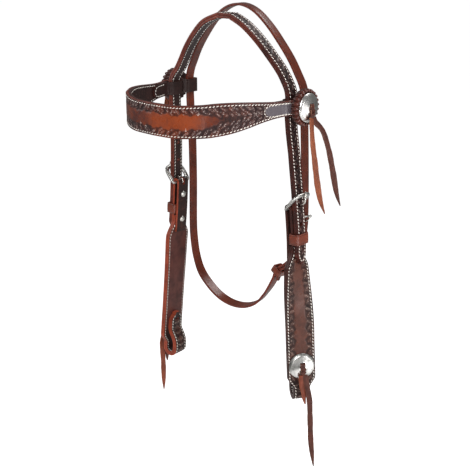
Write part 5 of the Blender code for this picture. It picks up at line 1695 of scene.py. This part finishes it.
OUTWARD = Matrix.Rotation(pi / 2, 4, "Y")
RIM = CONCHO_METAL * 0.6
DOME_CURVE = np.polyfit((0.0, 0.42, 0.72, 0.93, 1.0), (1.0, 0.90, 0.66, 0.30, 0.0), 4)
RING_SHARES = (
    0.985, 0.96, 0.93, 0.905, 0.89, 0.875, 0.86, 0.83, 0.79, 0.74, 0.68, 0.60, 0.51, 0.42, 0.32, 0.22,
    0.12, 0.05,
)
SUNK_SHARES = (0.89, 0.875)
# Painted reflection: how dark each concho's silver is made at each angle round it, in place of what it
# mirrors
ROSETTE_REFLECTION_WEDGES = (
    (0, 0.25), (30, 0.50), (60, 0.70), (90, 0.50), (110, 0.75), (140, 0.55), (165, 0.65), (185, 0.40),
    (215, 0.20), (240, 0.0), (310, 0.0), (335, 0.05),
)
BIT_REFLECTION_WEDGES = (
    (0, 0.40), (30, 0.45), (50, 0.05), (80, 0.0), (100, 0.35), (125, 0.65), (150, 0.50), (180, 0.30),
    (205, 0.45), (235, 0.60), (262, 0.95), (280, 0.80), (300, 0.15), (330, 0.0),
)


def concho_steps():
    steps = []
    for share in RING_SHARES:
        level = float(np.clip(np.polyval(DOME_CURVE, share), 0, 1))
        sunk = 0.00022 if share in SUNK_SHARES else 0.0
        steps.append((CONCHO_RADIUS * share, RIM + CONCHO_DOME * level - sunk))
    return steps


def painted_reflection_wedges(name, angle):
    """How dark the painted reflection makes the silver towards each edge; angle 180 is up and 270 is forward.
    """
    turns, shades = zip(*(BIT_REFLECTION_WEDGES if "bit" in name else ROSETTE_REFLECTION_WEDGES))
    return np.interp(angle % 360, turns, shades, period=360)


print(len(RING_SHARES), "rings in each dome")


# %% Helper for one concho
def make_concho(name, node, placed, body):
    piece = raised_disc(name, CONCHO_RADIUS, RIM, concho_steps(), 96)
    flat = coordinates(piece)
    reach, angle = np.hypot(flat[:, 0], flat[:, 1]) / CONCHO_RADIUS, np.arctan2(flat[:, 1], flat[:, 0])
    face = flat[:, 2] > RIM
    ring = np.exp(-((reach - 0.882) / 0.012) ** 2) * face
    note(piece, "dark_fill_and_painted_shade", 0.35 * ring)
    # painted reflection: dark wedges round the concho, fading towards its middle
    note(piece, "painted_reflection", painted_reflection_wedges(name, np.degrees(angle)) * np.clip(reach * 3, 0, 1))
    punch(piece, slot_punch(-SLOT_OFFSET, 0, (SLOT_HEIGHT, SLOT_LENGTH), 0.03))
    put_in_place(piece, placed @ OUTWARD)
    own(piece, body, "engraved_silver", node)
    return piece


print("each concho is", round(CONCHO_RADIUS * 2000, 1), "mm wide")


# %% Make the conchos and the beaded rosettes
for label, _ in SIDES:
    for place, body in (("rosette", "browband"), ("bit", "straps")):
        spot = f"{label}_{place}"
        concho = make_concho(f"{spot}_silver_concho", f"{spot}_concho", concho_frames[spot], body)
        silver_pieces.append(concho)


def make_rosette(label, side):
    """A leather disc with a sunk ring, and knobs of leather round its rim."""
    thick = ROSETTE_THICKNESS
    radius = ROSETTE_RADIUS * 0.905
    profile = (0.97, 0.95), (0.945, 0.72), (0.90, 0.66), (0.88, 0.95), (0.85, 1.0), (0.4, 1.0)
    steps = [(radius * ring, thick * height) for ring, height in profile]
    disc = raised_disc(f"{label}_rosette_disc", radius, thick * 0.8, steps, 92)
    punch(disc, slot_punch(-SLOT_OFFSET, 0, (SLOT_HEIGHT, SLOT_LENGTH), 0.03))
    start_fresh()
    bead_radius = pi * radius / ROSETTE_BEADS * 0.96
    bpy.ops.mesh.primitive_uv_sphere_add(segments=18, ring_count=12, radius=1)
    bead = bpy.context.object
    bead.scale = (bead_radius, bead_radius, thick * 0.58)
    bead.location = (radius, 0, thick * 0.50)
    bpy.ops.object.transform_apply()
    beads = [bead]
    for k in range(1, ROSETTE_BEADS):
        copy = bead.copy()
        copy.data = bead.data.copy()
        bpy.context.scene.collection.objects.link(copy)
        turn = Matrix.Rotation(2 * pi * k / ROSETTE_BEADS, 4, "Z")
        copy.data.transform(turn)
        beads.append(copy)
    rim = joined(beads)
    rim.name = f"{label}_rosette_beads"
    rim.data.shade_smooth()
    for piece in (disc, rim):
        flat = coordinates(piece)
        reach = np.hypot(flat[:, 0], flat[:, 1])
        low = 1 - ease((flat[:, 2] - thick * 0.35) / (thick * 0.5))
        ring = np.exp(-((reach - radius * 0.92) / 0.0006) ** 2)
        note(piece, "dark_fill_and_painted_shade", np.clip(0.75 * low + ring, 0, 1))
        note(piece, "tone", np.full(len(reach), 0.62))
        put_in_place(piece, rosette_frame(side, BROWBAND_FACE + LIE_GAP) @ OUTWARD)
        own(piece, "browband", "tooled_leather", f"{label}_rosette")
    return [disc, rim]


rosette_pieces = make_rosette("near", 1) + make_rosette("far", -1)
print("rosettes:", [piece.name for piece in rosette_pieces])


# %% Make the screw and rivet heads
def make_head(name, node, placed, head_face, radius, height, post_radius, post_end):
    """A domed head that looks towards the head of the horse, on its post."""
    profile = (0.96, 0.42), (0.88, 0.66), (0.74, 0.86), (0.52, 1.0), (0.25, 1.08)
    piece = raised_disc(name, radius, height * 0.22, [(radius * r, height * h) for r, h in profile], 40)
    start_fresh()
    length = post_end - head_face
    bpy.ops.mesh.primitive_cylinder_add(
        vertices=20, radius=post_radius, depth=length, location=(0, 0, -length / 2)
    )
    post = bpy.context.object
    bpy.ops.object.transform_apply()
    joined([piece, post])
    inward = Matrix.Translation((head_face, 0, 0)) @ Matrix.Rotation(-pi / 2, 4, "Y")
    put_in_place(piece, placed @ inward)
    own(piece, "straps", "nickel_plate", node)
    return piece


for label, side in SIDES:
    for place, drop in zip(("upper", "lower"), SCREW_DROPS):
        nickel_pieces.append(make_head(
            f"{label}_{place}_screw_head", f"{label}_{place}_cheek_screw", side_frame(side, drop, 0.0),
            TAIL_OUT - PLY / 2 - LIE_GAP, SCREW_HEAD_RADIUS, SCREW_HEAD_HEIGHT, 0.0020, TOP_PLY_OUT + PLY / 2,
        ))
lying_lengths = route_lengths(coarse_lying)
rivet_spot = next(k for k, length in enumerate(lying_lengths) if length >= THROAT_RIVET_BELOW_BAR)
rivet_frame = rigid_frame(
    coarse_lying[rivet_spot], coarse_lying[rivet_spot - 1] - coarse_lying[rivet_spot + 1], Vector((1, 0, 0))
)
nickel_pieces.append(make_head(
    "throatlatch_rivet_head", "throatlatch_rivet", rivet_frame, THROAT_BAR - THROAT_FOLD - PLY / 2 - LIE_GAP,
    RIVET_HEAD_RADIUS, RIVET_HEAD_HEIGHT, 0.0014, THROAT_LOWER + PLY / 2,
))
print("heads:", len(nickel_pieces) - 3)

# %% [markdown]
# ## The lace knots
#
# A flat lace comes out of the slot, lies down over the dome and is held by a turn of itself, and below that
# turn its two ends hang free. The strip and its turn are bent from the same kind of flat leather.

# %% Tie the laces
def lace_line(placed, back_out):
    over = RIM + CONCHO_DOME + LIE_GAP + LACE_THICKNESS / 2
    bend = LACE_THICKNESS
    places = [
        (back_out, SLOT_OFFSET), (over - bend * 1.6, SLOT_OFFSET),
        (over - bend * 0.5, SLOT_OFFSET - bend * 0.35), (over, SLOT_OFFSET - bend * 1.3), (over, 0.0),
        (over, -SLOT_OFFSET), (over, -SLOT_OFFSET - LACE_WIDTH),
    ]
    route = smooth_route([placed @ Vector((out, 0, up)) for out, up in places], 0.0008)
    return strap_line(route, across=placed.to_3x3() @ Vector((0, 1, 0))), over


def tie_lace(label, place, side, back_out, body):
    placed = concho_frames[f"{label}_{place}"]
    line, over = lace_line(placed, back_out)
    line["half"] = np.full(len(line["at"]), LACE_WIDTH / 2)
    strip = cut_strap(f"{label}_{place}_lace_strip", line, LACE_THICKNESS, 0.0008, 0.0003)
    flat = coordinates(strip)
    note(strip, "flesh", (np.abs(flat[:, 1]) > LACE_WIDTH / 2 - 0.0004).astype(float))
    lay(strip, line)
    own(strip, body, "lace_leather", f"{label}_{place}_lace")
    made = [strip]
    for part, lean, up, hold, half_width, high in (
        ("turn", 24, -SLOT_OFFSET - LACE_WIDTH * 0.42, 0.75, LACE_WIDTH / 2 - 0.0002, 0.62),
        ("cross", -32, -SLOT_OFFSET * 0.35, 0.70, LACE_WIDTH / 2 + 0.0006, 0.52),
    ):
        leaned = Matrix.Rotation(radians(lean * side), 4, "X")
        band = make_band(
            f"{label}_{place}_lace_{part}", placed @ Matrix.Translation((over, 0, up)) @ leaned,
            -LACE_THICKNESS * hold, LACE_THICKNESS * hold, half_width, LACE_THICKNESS * 0.72,
            LACE_WIDTH * high, 0.0002,
        )
        own(band, body, "lace_leather", f"{label}_{place}_lace")
        made.append(band)
    return made


for label, side in SIDES:
    back = LOOP_OUT - CONCHO_FACE_ROSETTE
    lace_pieces += tie_lace(label, "rosette", side, back, "browband")
    back = CHEEK_OUT - STRAP * 1.5 - LIE_GAP - CONCHO_FACE_BIT
    lace_pieces += tie_lace(label, "bit", side, back, "straps")
print("laces:", len(lace_pieces), "pieces")

# %% [markdown]
# ## Leather
#
# Vegetable tanned leather is dyed, oiled and antiqued, so its colour is never even: it is mottled over
# centimetres, pored over a millimetre, and darker where paste stayed in the carving. The raised parts are
# paler, partly rubbed and partly painted highlight. Each of these effects is one node group, made once and
# placed in every leather that has it, with that leather's own colours. The masks that were kept on the
# points say where the carving is. Some colours also paint light and shade: a grey sheen on the browband's
# panels, shade inside the bit loops and at the browband's far turn, and lit and shaded copies of the
# edges, the laces and the linings.

# %% Node helpers
def linear(red, green, blue):
    """A colour as it looks on the screen, out of 255, as a linear colour."""
    shades = []
    for value in (red, green, blue):
        value /= 255
        shades.append(value / 12.92 if value <= 0.04045 else ((value + 0.055) / 1.055) ** 2.4)
    return (*shades, 1.0)


COLOUR = "NodeSocketColor"
NUMBER = "NodeSocketFloat"


def new_group(name, colours, numbers, outputs):
    """An empty node group; gives its tree, what it is given, and the node that takes what it makes."""
    group = bpy.data.node_groups.new(name, "ShaderNodeTree")
    for label in colours:
        socket = group.interface.new_socket(label, in_out="INPUT", socket_type=COLOUR)
        socket.default_value = (0.1, 0.04, 0.02, 1.0)
    for label, value in numbers.items():
        socket = group.interface.new_socket(label, in_out="INPUT", socket_type=NUMBER)
        socket.default_value = value
    for label in outputs:
        kind = COLOUR if label == "Colour" else NUMBER
        group.interface.new_socket(label, in_out="OUTPUT", socket_type=kind)
    return group, group.nodes.new("NodeGroupInput").outputs, group.nodes.new("NodeGroupOutput").inputs


def wire_to(tree, socket, value):
    if isinstance(value, bpy.types.NodeSocket):
        tree.links.new(value, socket)
    else:
        socket.default_value = value


def make_node(tree, kind, values, **settings):
    """A node with its settings, and with a value or a link for each of the inputs named."""
    node = tree.nodes.new("ShaderNode" + kind)
    for name, setting in settings.items():
        setattr(node, name, setting)
    for label, value in values.items():
        wire_to(tree, node.inputs[label], value)
    return node.outputs


def place_group(tree, group, values):
    """Puts a group in a material with its own values, and gives what the group puts out."""
    return make_node(tree, "Group", values, node_tree=group)


def object_place(tree):
    return make_node(tree, "TexCoord", {})["Object"]


def noise(tree, scale, detail, roughness, vector):
    values = {"Scale": scale, "Detail": detail, "Roughness": roughness, "Vector": vector}
    return make_node(tree, "TexNoise", values)["Fac"]


def spread(tree, value, low, high, to_low=0.0, to_high=1.0):
    values = {"Value": value, "From Min": low, "From Max": high, "To Min": to_low, "To Max": to_high}
    return make_node(tree, "MapRange", values, interpolation_type="SMOOTHSTEP")["Result"]


def maths(tree, operation, first, second, clamp=False):
    return make_node(tree, "Math", {0: first, 1: second}, operation=operation, use_clamp=clamp)[0]


def plus(tree, first, second, clamp=False):
    return maths(tree, "ADD", first, second, clamp)


def times(tree, first, second):
    return maths(tree, "MULTIPLY", first, second)


def blend_colours(tree, share, first, second):
    return make_node(tree, "Mix", {0: share, 6: first, 7: second}, data_type="RGBA")[2]


print("the helpers make a dark red of", [round(c, 3) for c in linear(92, 46, 38)])


# %% The groups for hide and for carving
def make_hide_group():
    """Mottled, pored and grained hide, between a light and a dark colour."""
    group, given, made = new_group(
        "hide_surface", ("Light", "Dark"), {"Depth": 0.3, "Mottle": 0.5, "Gloss": 0.4, "Grain": 1.0},
        ("Colour", "Roughness", "Height"),
    )
    place = object_place(group)
    cloud = noise(group, 55, 5, 0.6, place)
    patch = noise(group, 190, 4, 0.6, place)
    pores = noise(group, 1500, 2, 0.6, place)
    cells = make_node(group, "TexVoronoi", {"Scale": 950, "Vector": place})
    broad = times(group, spread(group, cloud, 0.3, 0.7, -0.5, 0.5), given["Mottle"])
    small = times(group, spread(group, patch, 0.3, 0.7, -0.3, 0.3), given["Mottle"])
    depth = plus(group, given["Depth"], plus(group, broad, small), clamp=True)
    base = blend_colours(group, depth, given["Light"], given["Dark"])
    pored = blend_colours(group, spread(group, pores, 0.56, 0.72, 0.0, 0.35), base, given["Dark"])
    group.links.new(pored, made["Colour"])
    rough = plus(group, given["Gloss"], spread(group, patch, 0.3, 0.75, -0.07, 0.09))
    group.links.new(rough, made["Roughness"])
    grain = plus(group, times(group, cells["Distance"], 0.6), pores)
    group.links.new(times(group, grain, given["Grain"]), made["Height"])
    return group


# Painted sheen: the smooth panels are given the bluish grey of their sheen instead of their leather colour
PANEL_PAINTED_SHEEN = linear(92, 86, 92)


def make_carving_group():
    """Dark paste in the carving, pale flecks of rubbing and painted highlight, and a panel painted grey as
    its sheen.
    """
    group, given, made = new_group(
        "antiqued_carving", ("Colour", "Paste", "Pale"),
        {"Roughness": 0.4, "Tooling": 0.0, "Rubbed_And_Highlight": 0.0, "Panel": 0.0}, ("Colour", "Roughness"),
    )
    place = object_place(group)
    worn = spread(group, noise(group, 420, 4, 0.6, place), 0.28, 0.62, 1.0, 0.62)
    # the glints pick out the painted highlights on the raised leaves
    glints = spread(group, noise(group, 950, 3, 0.6, place), 0.50, 0.60)
    pasted = times(group, given["Tooling"], worn)
    rubbed_and_highlit_share = times(group, given["Rubbed_And_Highlight"], glints)
    # painted sheen: the plain panel is mixed towards its grey sheen colour
    plain = times(group, given["Panel"], 0.9)
    colour = blend_colours(group, pasted, given["Colour"], given["Paste"])
    colour = blend_colours(group, rubbed_and_highlit_share, colour, given["Pale"])
    colour = blend_colours(group, plain, colour, PANEL_PAINTED_SHEEN)
    group.links.new(colour, made["Colour"])
    rough = plus(group, given["Roughness"], times(group, given["Tooling"], 0.22))
    rough = maths(group, "SUBTRACT", rough, times(group, given["Panel"], 0.14))
    group.links.new(rough, made["Roughness"])
    return group


hide_group = make_hide_group()
carving_group = make_carving_group()
print("groups:", [group.name for group in bpy.data.node_groups])


# %% The groups for creases, cut edges and laces
def make_crease_and_shade_group():
    """Dark paste that stays in the pressed creases of a plain strap, and painted shade inside the bit loops.
    """
    group, given, made = new_group("pasted_crease_and_shade", ("Colour", "Paste"), {"Crease_And_Shade": 0.0}, ("Colour",))
    group.links.new(blend_colours(group, given["Crease_And_Shade"], given["Colour"], given["Paste"]), made["Colour"])
    return group


def make_fibre_group():
    """The layers of a hide, which show as fine dark lines along a cut and burnished edge."""
    group, given, made = new_group("edge_fibres", ("Colour", "Dark"), {}, ("Colour", "Height"))
    fibre = noise(group, 700, 5, 0.7, object_place(group))
    lines = spread(group, fibre, 0.5, 0.75, 0.0, 0.45)
    group.links.new(blend_colours(group, lines, given["Colour"], given["Dark"]), made["Colour"])
    group.links.new(fibre, made["Height"])
    return group


def make_flesh_group():
    """The paler, duller flesh side that shows on the cut edges of a lace."""
    group, given, made = new_group(
        "flesh_side", ("Colour", "Pale"), {"Roughness": 0.5, "Flesh": 0.0}, ("Colour", "Roughness")
    )
    share = times(group, given["Flesh"], 0.75)
    group.links.new(blend_colours(group, share, given["Colour"], given["Pale"]), made["Colour"])
    duller = times(group, given["Flesh"], 0.2)
    group.links.new(plus(group, given["Roughness"], duller), made["Roughness"])
    return group


crease_and_shade_group = make_crease_and_shade_group()
fibre_group = make_fibre_group()
flesh_group = make_flesh_group()
print("groups:", [group.name for group in bpy.data.node_groups])


# %% Carved and plain leather
OILED_SPECULAR = 0.24


def new_material(name):
    material = bpy.data.materials.new(name)
    material.use_nodes = True
    shader = material.node_tree.nodes["Principled BSDF"]
    shader.inputs["Specular IOR Level"].default_value = OILED_SPECULAR
    return material, material.node_tree, shader


def mask(tree, name):
    return make_node(tree, "Attribute", {}, attribute_name=name)["Fac"]


def hide(tree, light, dark, depth, mottle, gloss, grain=1.0):
    return place_group(tree, hide_group, {
        "Light": light, "Dark": dark, "Depth": depth, "Mottle": mottle, "Gloss": gloss, "Grain": grain
    })


def finish_surface(tree, shader, colour, roughness, height, strength, distance=0.00012):
    bump = make_node(tree, "Bump", {"Strength": strength, "Distance": distance, "Height": height})
    values = {"Normal": bump["Normal"], "Base Color": colour, "Roughness": roughness}
    for label, value in values.items():
        wire_to(tree, shader.inputs[label], value)


def carved_leather(name, *shades, mottle=0.3, gloss=0.30):
    """The shades are the hide's light and dark, the paste, and the pale of rubbing and painted highlight, as
    seen on the screen.
    """
    material, tree, shader = new_material(name)
    light, dark, paste, pale = (linear(*shade) for shade in shades)
    surface = hide(tree, light, dark, mask(tree, "tone"), mottle, gloss)
    finish = place_group(tree, carving_group, {
        "Colour": surface["Colour"], "Roughness": surface["Roughness"], "Paste": paste, "Pale": pale,
        "Tooling": mask(tree, "dark_fill_and_painted_shade"), "Rubbed_And_Highlight": mask(tree, "rubbed_and_highlight"), "Panel": mask(tree, "panel"),
    })
    finish_surface(tree, shader, finish["Colour"], finish["Roughness"], surface["Height"], 0.30)
    return material


def plain_leather(name, *shades, depth, mottle, gloss, strength=0.3):
    """The shades are the hide's light and dark, and the dark of the paste in its creases and of painted
    shade.
    """
    material, tree, shader = new_material(name)
    light, dark, paste = (linear(*shade) for shade in shades)
    surface = hide(tree, light, dark, depth, mottle, gloss)
    creased_and_shaded = place_group(tree, crease_and_shade_group, {
        "Colour": surface["Colour"], "Paste": paste, "Crease_And_Shade": mask(tree, "dark_fill_and_painted_shade")
    })
    finish_surface(tree, shader, creased_and_shaded["Colour"], surface["Roughness"], surface["Height"], strength)
    return material


print("carved and plain leather can be mixed")


# %% Cut edges and lace leather
def cut_edge(name, *shades, depth, near_shade_depth=None):
    """A burnished edge; the last argument is how dark it is painted towards the near side, as shade, where
    that differs.
    """
    material, tree, shader = new_material(name)
    light, dark = (linear(*shade) for shade in shades)
    if near_shade_depth is not None:
        parts = make_node(tree, "SeparateXYZ", {"Vector": object_place(tree)})
        depth = spread(tree, parts["X"], 0.01, 0.085, depth, near_shade_depth)
    surface = hide(tree, light, dark, depth, 0.45, 0.36, 0.6)
    fibres = place_group(tree, fibre_group, {"Colour": surface["Colour"], "Dark": dark})
    finish_surface(tree, shader, fibres["Colour"], surface["Roughness"], fibres["Height"], 0.35, 0.00025)
    return material


def lace_leather(name, *shades):
    """The shades are the hide's light and dark, and its flesh side."""
    material, tree, shader = new_material(name)
    light, dark, flesh = (linear(*shade) for shade in shades)
    surface = hide(tree, light, dark, 0.25, 0.6, 0.55)
    sides = place_group(tree, flesh_group, {
        "Colour": surface["Colour"], "Roughness": surface["Roughness"], "Pale": flesh,
        "Flesh": mask(tree, "flesh"),
    })
    finish_surface(tree, shader, sides["Colour"], sides["Roughness"], surface["Height"], 0.45, 0.0002)
    return material


print("cut edges and lace leather can be mixed")


# %% Mix the leathers
# The last shade of each carved leather is the pale of rubbing and painted highlight
browband_leather = carved_leather(
    "carved_russet_leather", (140, 64, 34), (62, 34, 32), (24, 13, 13), (240, 222, 214), mottle=0.45,
    gloss=0.32,
)
crown_leather = carved_leather("carved_dark_leather", (92, 46, 38), (42, 22, 20), (16, 9, 9), (214, 192, 184))
cheek_leather = carved_leather(
    "carved_brown_leather", (90, 52, 41), (40, 23, 20), (30, 17, 15), (214, 184, 168), mottle=0.60, gloss=0.33
)
rosette_leather = carved_leather(
    "rosette_leather", (118, 60, 48), (52, 27, 24), (20, 10, 9), (150, 120, 110), gloss=0.26
)
back_leather = plain_leather(
    "plum_lining_leather", (92, 50, 43), (48, 25, 23), (22, 12, 11), depth=0.35, mottle=0.55, gloss=0.42
)
# dark leather of the loops, also a shaded copy of the lining leather for the crown and browband back plies
loop_and_shaded_lining_leather = plain_leather(
    "dark_loop_and_shaded_lining_leather", (50, 30, 27), (26, 15, 14), (14, 8, 8), depth=0.4, mottle=0.5, gloss=0.38
)
strap_leather = plain_leather(
    "oiled_strap_leather", (106, 46, 29), (46, 20, 15), (28, 12, 10), depth=0.35, mottle=0.45, gloss=0.30,
    strength=0.12,
)
keeper_leather = plain_leather(
    "keeper_strap_leather", (128, 62, 44), (58, 27, 21), (34, 14, 11), depth=0.30, mottle=0.4, gloss=0.24
)
burnished_edge = cut_edge("burnished_edge", (122, 56, 42), (58, 27, 22), depth=0.35)
# painted shade: the crown strap's edge is darkened towards the near side
crown_edge = cut_edge("crown_burnished_edge", (122, 56, 42), (54, 26, 22), depth=0.30, near_shade_depth=0.95)
# a shaded copy of the burnished edge, for the near cheek and the dark loop leather
dark_and_shaded_edge = cut_edge("dark_and_shaded_burnished_edge", (70, 34, 28), (34, 18, 16), depth=0.4)
# a lit copy of the burnished edge, for the far cheek
lit_far_edge = cut_edge("orange_burnished_edge", (166, 74, 50), (88, 36, 26), depth=0.35)
# Lit and shaded copies of one lace leather: the front tails are painted lighter as lit, the knots and back
# tails darker as shaded
lit_rosette_lace = lace_leather("lit_warm_lace_leather", (140, 76, 50), (86, 42, 28), (160, 100, 70))
lit_bit_lace = lace_leather("lit_brown_lace_leather", (126, 62, 42), (70, 33, 24), (150, 86, 60))
shaded_lace = lace_leather("shaded_dark_lace_leather", (86, 46, 36), (48, 27, 23), (124, 84, 66))
print("leathers:", [m.name for m in bpy.data.materials if "leather" in m.name])

# %% [markdown]
# ## Thread, silver and nickel
#
# Waxed thread is nearly white and softly shiny, and it has a twist. The conchos and buckles are silver, and
# fine scratches run over their polish. Grey tarnish stays in the grooves. Round each concho, wedges of
# painted reflection make the silver darker at some angles than at others, in place of what it mirrors. The
# tongues and screws are nickel, a little warmer and smoother. One group makes the tarnish, the painted
# reflection and the scratches of all three metals.

# %% Thread and metals
def waxed_thread():
    material, tree, shader = new_material("waxed_white_thread")
    place = object_place(tree)
    soil = spread(tree, noise(tree, 160, 4, 0.6, place), 0.4, 0.75, 0.0, 0.55)
    colour = blend_colours(tree, soil, linear(246, 240, 232), linear(200, 180, 162))
    twist = noise(tree, 2600, 2, 0.5, place)
    finish_surface(tree, shader, colour, spread(tree, twist, 0.3, 0.7, 0.5, 0.65), twist, 0.4, 0.0001)
    return material


def make_tarnish_group():
    """Scratched metal with clouds and specks of tarnish, more of it where engraved, and painted reflection
    wedges.
    """
    group, given, made = new_group(
        "tarnished_metal", ("Bright", "Tarnish"),
        {"Gloss": 0.2, "Grooves": 0.0, "Engraved": 0.0, "Painted_Reflection": 0.0}, ("Colour", "Roughness", "Height"),
    )
    place = object_place(group)
    cloud = spread(group, noise(group, 130, 4, 0.65, place), 0.48, 0.78, 0.0, 0.35)
    stretched = make_node(group, "Mapping", {"Scale": (1.0, 1.0, 9.0), "Vector": place})["Vector"]
    scratches = noise(group, 260, 4, 0.7, stretched)
    specks = noise(group, 900, 3, 0.6, place)
    share = plus(group, cloud, spread(group, specks, 0.60, 0.72, 0.0, given["Grooves"]))
    share = plus(group, share, times(group, given["Engraved"], 0.8))
    # painted reflection: the wedges darken the silver towards the tarnish colour
    share = plus(group, share, times(group, given["Painted_Reflection"], 0.9), clamp=True)
    group.links.new(blend_colours(group, share, given["Bright"], given["Tarnish"]), made["Colour"])
    duller = plus(group, given["Gloss"], 0.14)
    rough = spread(group, scratches, 0.35, 0.7, given["Gloss"], duller)
    rough = plus(group, rough, times(group, share, 0.25))
    group.links.new(rough, made["Roughness"])
    pits = times(group, specks, times(group, given["Grooves"], 2))
    group.links.new(plus(group, scratches, pits), made["Height"])
    return group


tarnish_group = make_tarnish_group()


def metal(name, *shades, gloss, scratch, grooves):
    material, tree, shader = new_material(name)
    shader.inputs["Metallic"].default_value = 1.0
    bright, tarnish = (linear(*shade) for shade in shades)
    surface = place_group(tree, tarnish_group, {
        "Bright": bright, "Tarnish": tarnish, "Gloss": gloss, "Grooves": grooves,
        "Engraved": mask(tree, "dark_fill_and_painted_shade"), "Painted_Reflection": mask(tree, "painted_reflection"),
    })
    finish_surface(tree, shader, surface["Colour"], surface["Roughness"], surface["Height"], scratch, 0.0002)
    return material


thread_material = waxed_thread()
silver_material = metal(
    "engraved_silver_metal", (240, 238, 234), (92, 92, 88), gloss=0.16, scratch=0.07, grooves=0.06
)
buckle_material = metal(
    "engraved_buckle_metal", (186, 184, 180), (40, 36, 34), gloss=0.24, scratch=0.6, grooves=0.9
)
nickel_material = metal(
    "polished_nickel", (222, 218, 210), (110, 104, 98), gloss=0.18, scratch=0.12, grooves=0.0
)
print("metals:", [m.name for m in bpy.data.materials if "metal" in m.name or "nickel" in m.name])


# %% Give every piece its material
def dress(piece, *materials):
    for material in materials:
        piece.data.materials.append(material)


dress(crown_outer, crown_leather, crown_edge)
dress(browband_face, browband_leather, burnished_edge)
# painted light and shade: the far cheek takes the lit copy of the edge, the near cheek the shaded copy
for piece in cheek_faces:
    dress(piece, cheek_leather, lit_far_edge if piece.name.startswith("far") else dark_and_shaded_edge)
# painted shade: the cheek back plies take the plum lining leather, the crown and browband back plies a
# darker, shaded copy of it
for piece in lining_pieces:
    if "cheek" in piece.name:
        dress(piece, back_leather, lit_far_edge if piece.name.startswith("far") else dark_and_shaded_edge)
    else:
        dress(piece, loop_and_shaded_lining_leather, crown_edge if piece is crown_lining else dark_and_shaded_edge)
for piece in loop_pieces:
    dress(piece, loop_and_shaded_lining_leather, dark_and_shaded_edge)
for piece in plain_pieces:
    dress(piece, keeper_leather if "keeper" in piece.name else strap_leather, burnished_edge)
for piece in rosette_pieces:
    dress(piece, rosette_leather)
# painted light and shade: the front tails take the lit copies of the lace leather, the rest the shaded copy
for piece in lace_pieces:
    colour = shaded_lace
    if "front_end" in piece.name:
        colour = lit_bit_lace if "bit" in piece.name else lit_rosette_lace
    dress(piece, colour, colour)
for material, weight in ((rosette_leather, 0.35), (keeper_leather, 0.45), (strap_leather, 0.20)):
    shader = material.node_tree.nodes["Principled BSDF"]
    shader.inputs["Coat Weight"].default_value = weight
    shader.inputs["Coat Roughness"].default_value = 0.22
for piece in thread_pieces:
    dress(piece, thread_material)
for piece in silver_pieces:
    dress(piece, buckle_material if "buckle" in piece.name else silver_material)
for piece in nickel_pieces:
    dress(piece, nickel_material)

# %% [markdown]
# ## Floor and light
#
# The headstall hangs in front of a plain white studio, with a pale floor well below it. Five soft lamps
# light it: the main one from the front and the right, a tall one from the right, a small low one in
# front, a weak one from the left, and one from above and behind for the edges. Two weak cards low on the
# right are there for the conchos to mirror. The floor and the world look white to the camera without
# lighting the leather more.

# %% Make the floor, the world and the lamps
def white_to_camera(tree):
    """1 for what the camera sees, straight or through glass."""
    paths = make_node(tree, "LightPath", {})
    return maths(tree, "MAXIMUM", paths["Is Camera Ray"], paths["Is Transmission Ray"])


FLOOR_LEVEL = -1.15


def make_floor():
    start_fresh()
    bpy.ops.mesh.primitive_plane_add(size=240, location=(0, 0, 0))
    floor = bpy.context.object
    floor.name = "studio_floor"
    floor.data.transform(Matrix.Translation((0, 0, FLOOR_LEVEL)))
    material, tree, shader = new_material("pale_floor")
    shader.inputs["Base Color"].default_value = (0.80, 0.80, 0.80, 1)
    shader.inputs["Roughness"].default_value = 0.9
    shader.inputs["Emission Color"].default_value = (1, 1, 1, 1)
    tree.links.new(times(tree, white_to_camera(tree), 0.85), shader.inputs["Emission Strength"])
    floor.data.materials.append(material)


make_floor()
world = bpy.data.worlds.new("studio")
bpy.context.scene.world = world
world.use_nodes = True
sky = world.node_tree
background = sky.nodes["Background"]
background.inputs["Color"].default_value = (1, 1, 1, 1)
seen_share = times(sky, white_to_camera(sky), 0.80)
sky.links.new(plus(sky, seen_share, 0.20), background.inputs["Strength"])

LAMPS = (
    ("front_right_softbox", (1.25, -1.55, 0.95), (0.8, 1.1), 34),
    ("right_softbox", (1.9, 0.05, -0.30), (0.35, 1.6), 13),
    ("low_front_card", (1.0, -1.55, -0.75), (0.3, 0.5), 5),
    ("left_softbox", (-1.5, -1.1, 0.35), (0.6, 1.2), 10),
    ("top_back_softbox", (0.2, 1.1, 1.6), (1.0, 0.7), 22),
    ("rosette_card", (1.50, 0.63, -0.60), (0.7, 0.9), 2.6),
    ("concho_card", (1.50, -0.55, -0.90), (0.5, 0.5), 1.2),
)
MIDDLE = Vector((0, 0, -0.25))

for name, place, size, watts in LAMPS:
    bpy.ops.object.light_add(type="AREA", location=place)
    lamp = bpy.context.object
    lamp.name = name
    lamp.data.shape = "RECTANGLE"
    lamp.data.size, lamp.data.size_y = size
    lamp.data.energy = watts
    lamp.rotation_euler = (MIDDLE - Vector(place)).to_track_quat("-Z", "Y").to_euler()
bpy.context.scene.view_settings.view_transform = "Standard"
print("lamps:", [name for name, *_ in LAMPS])
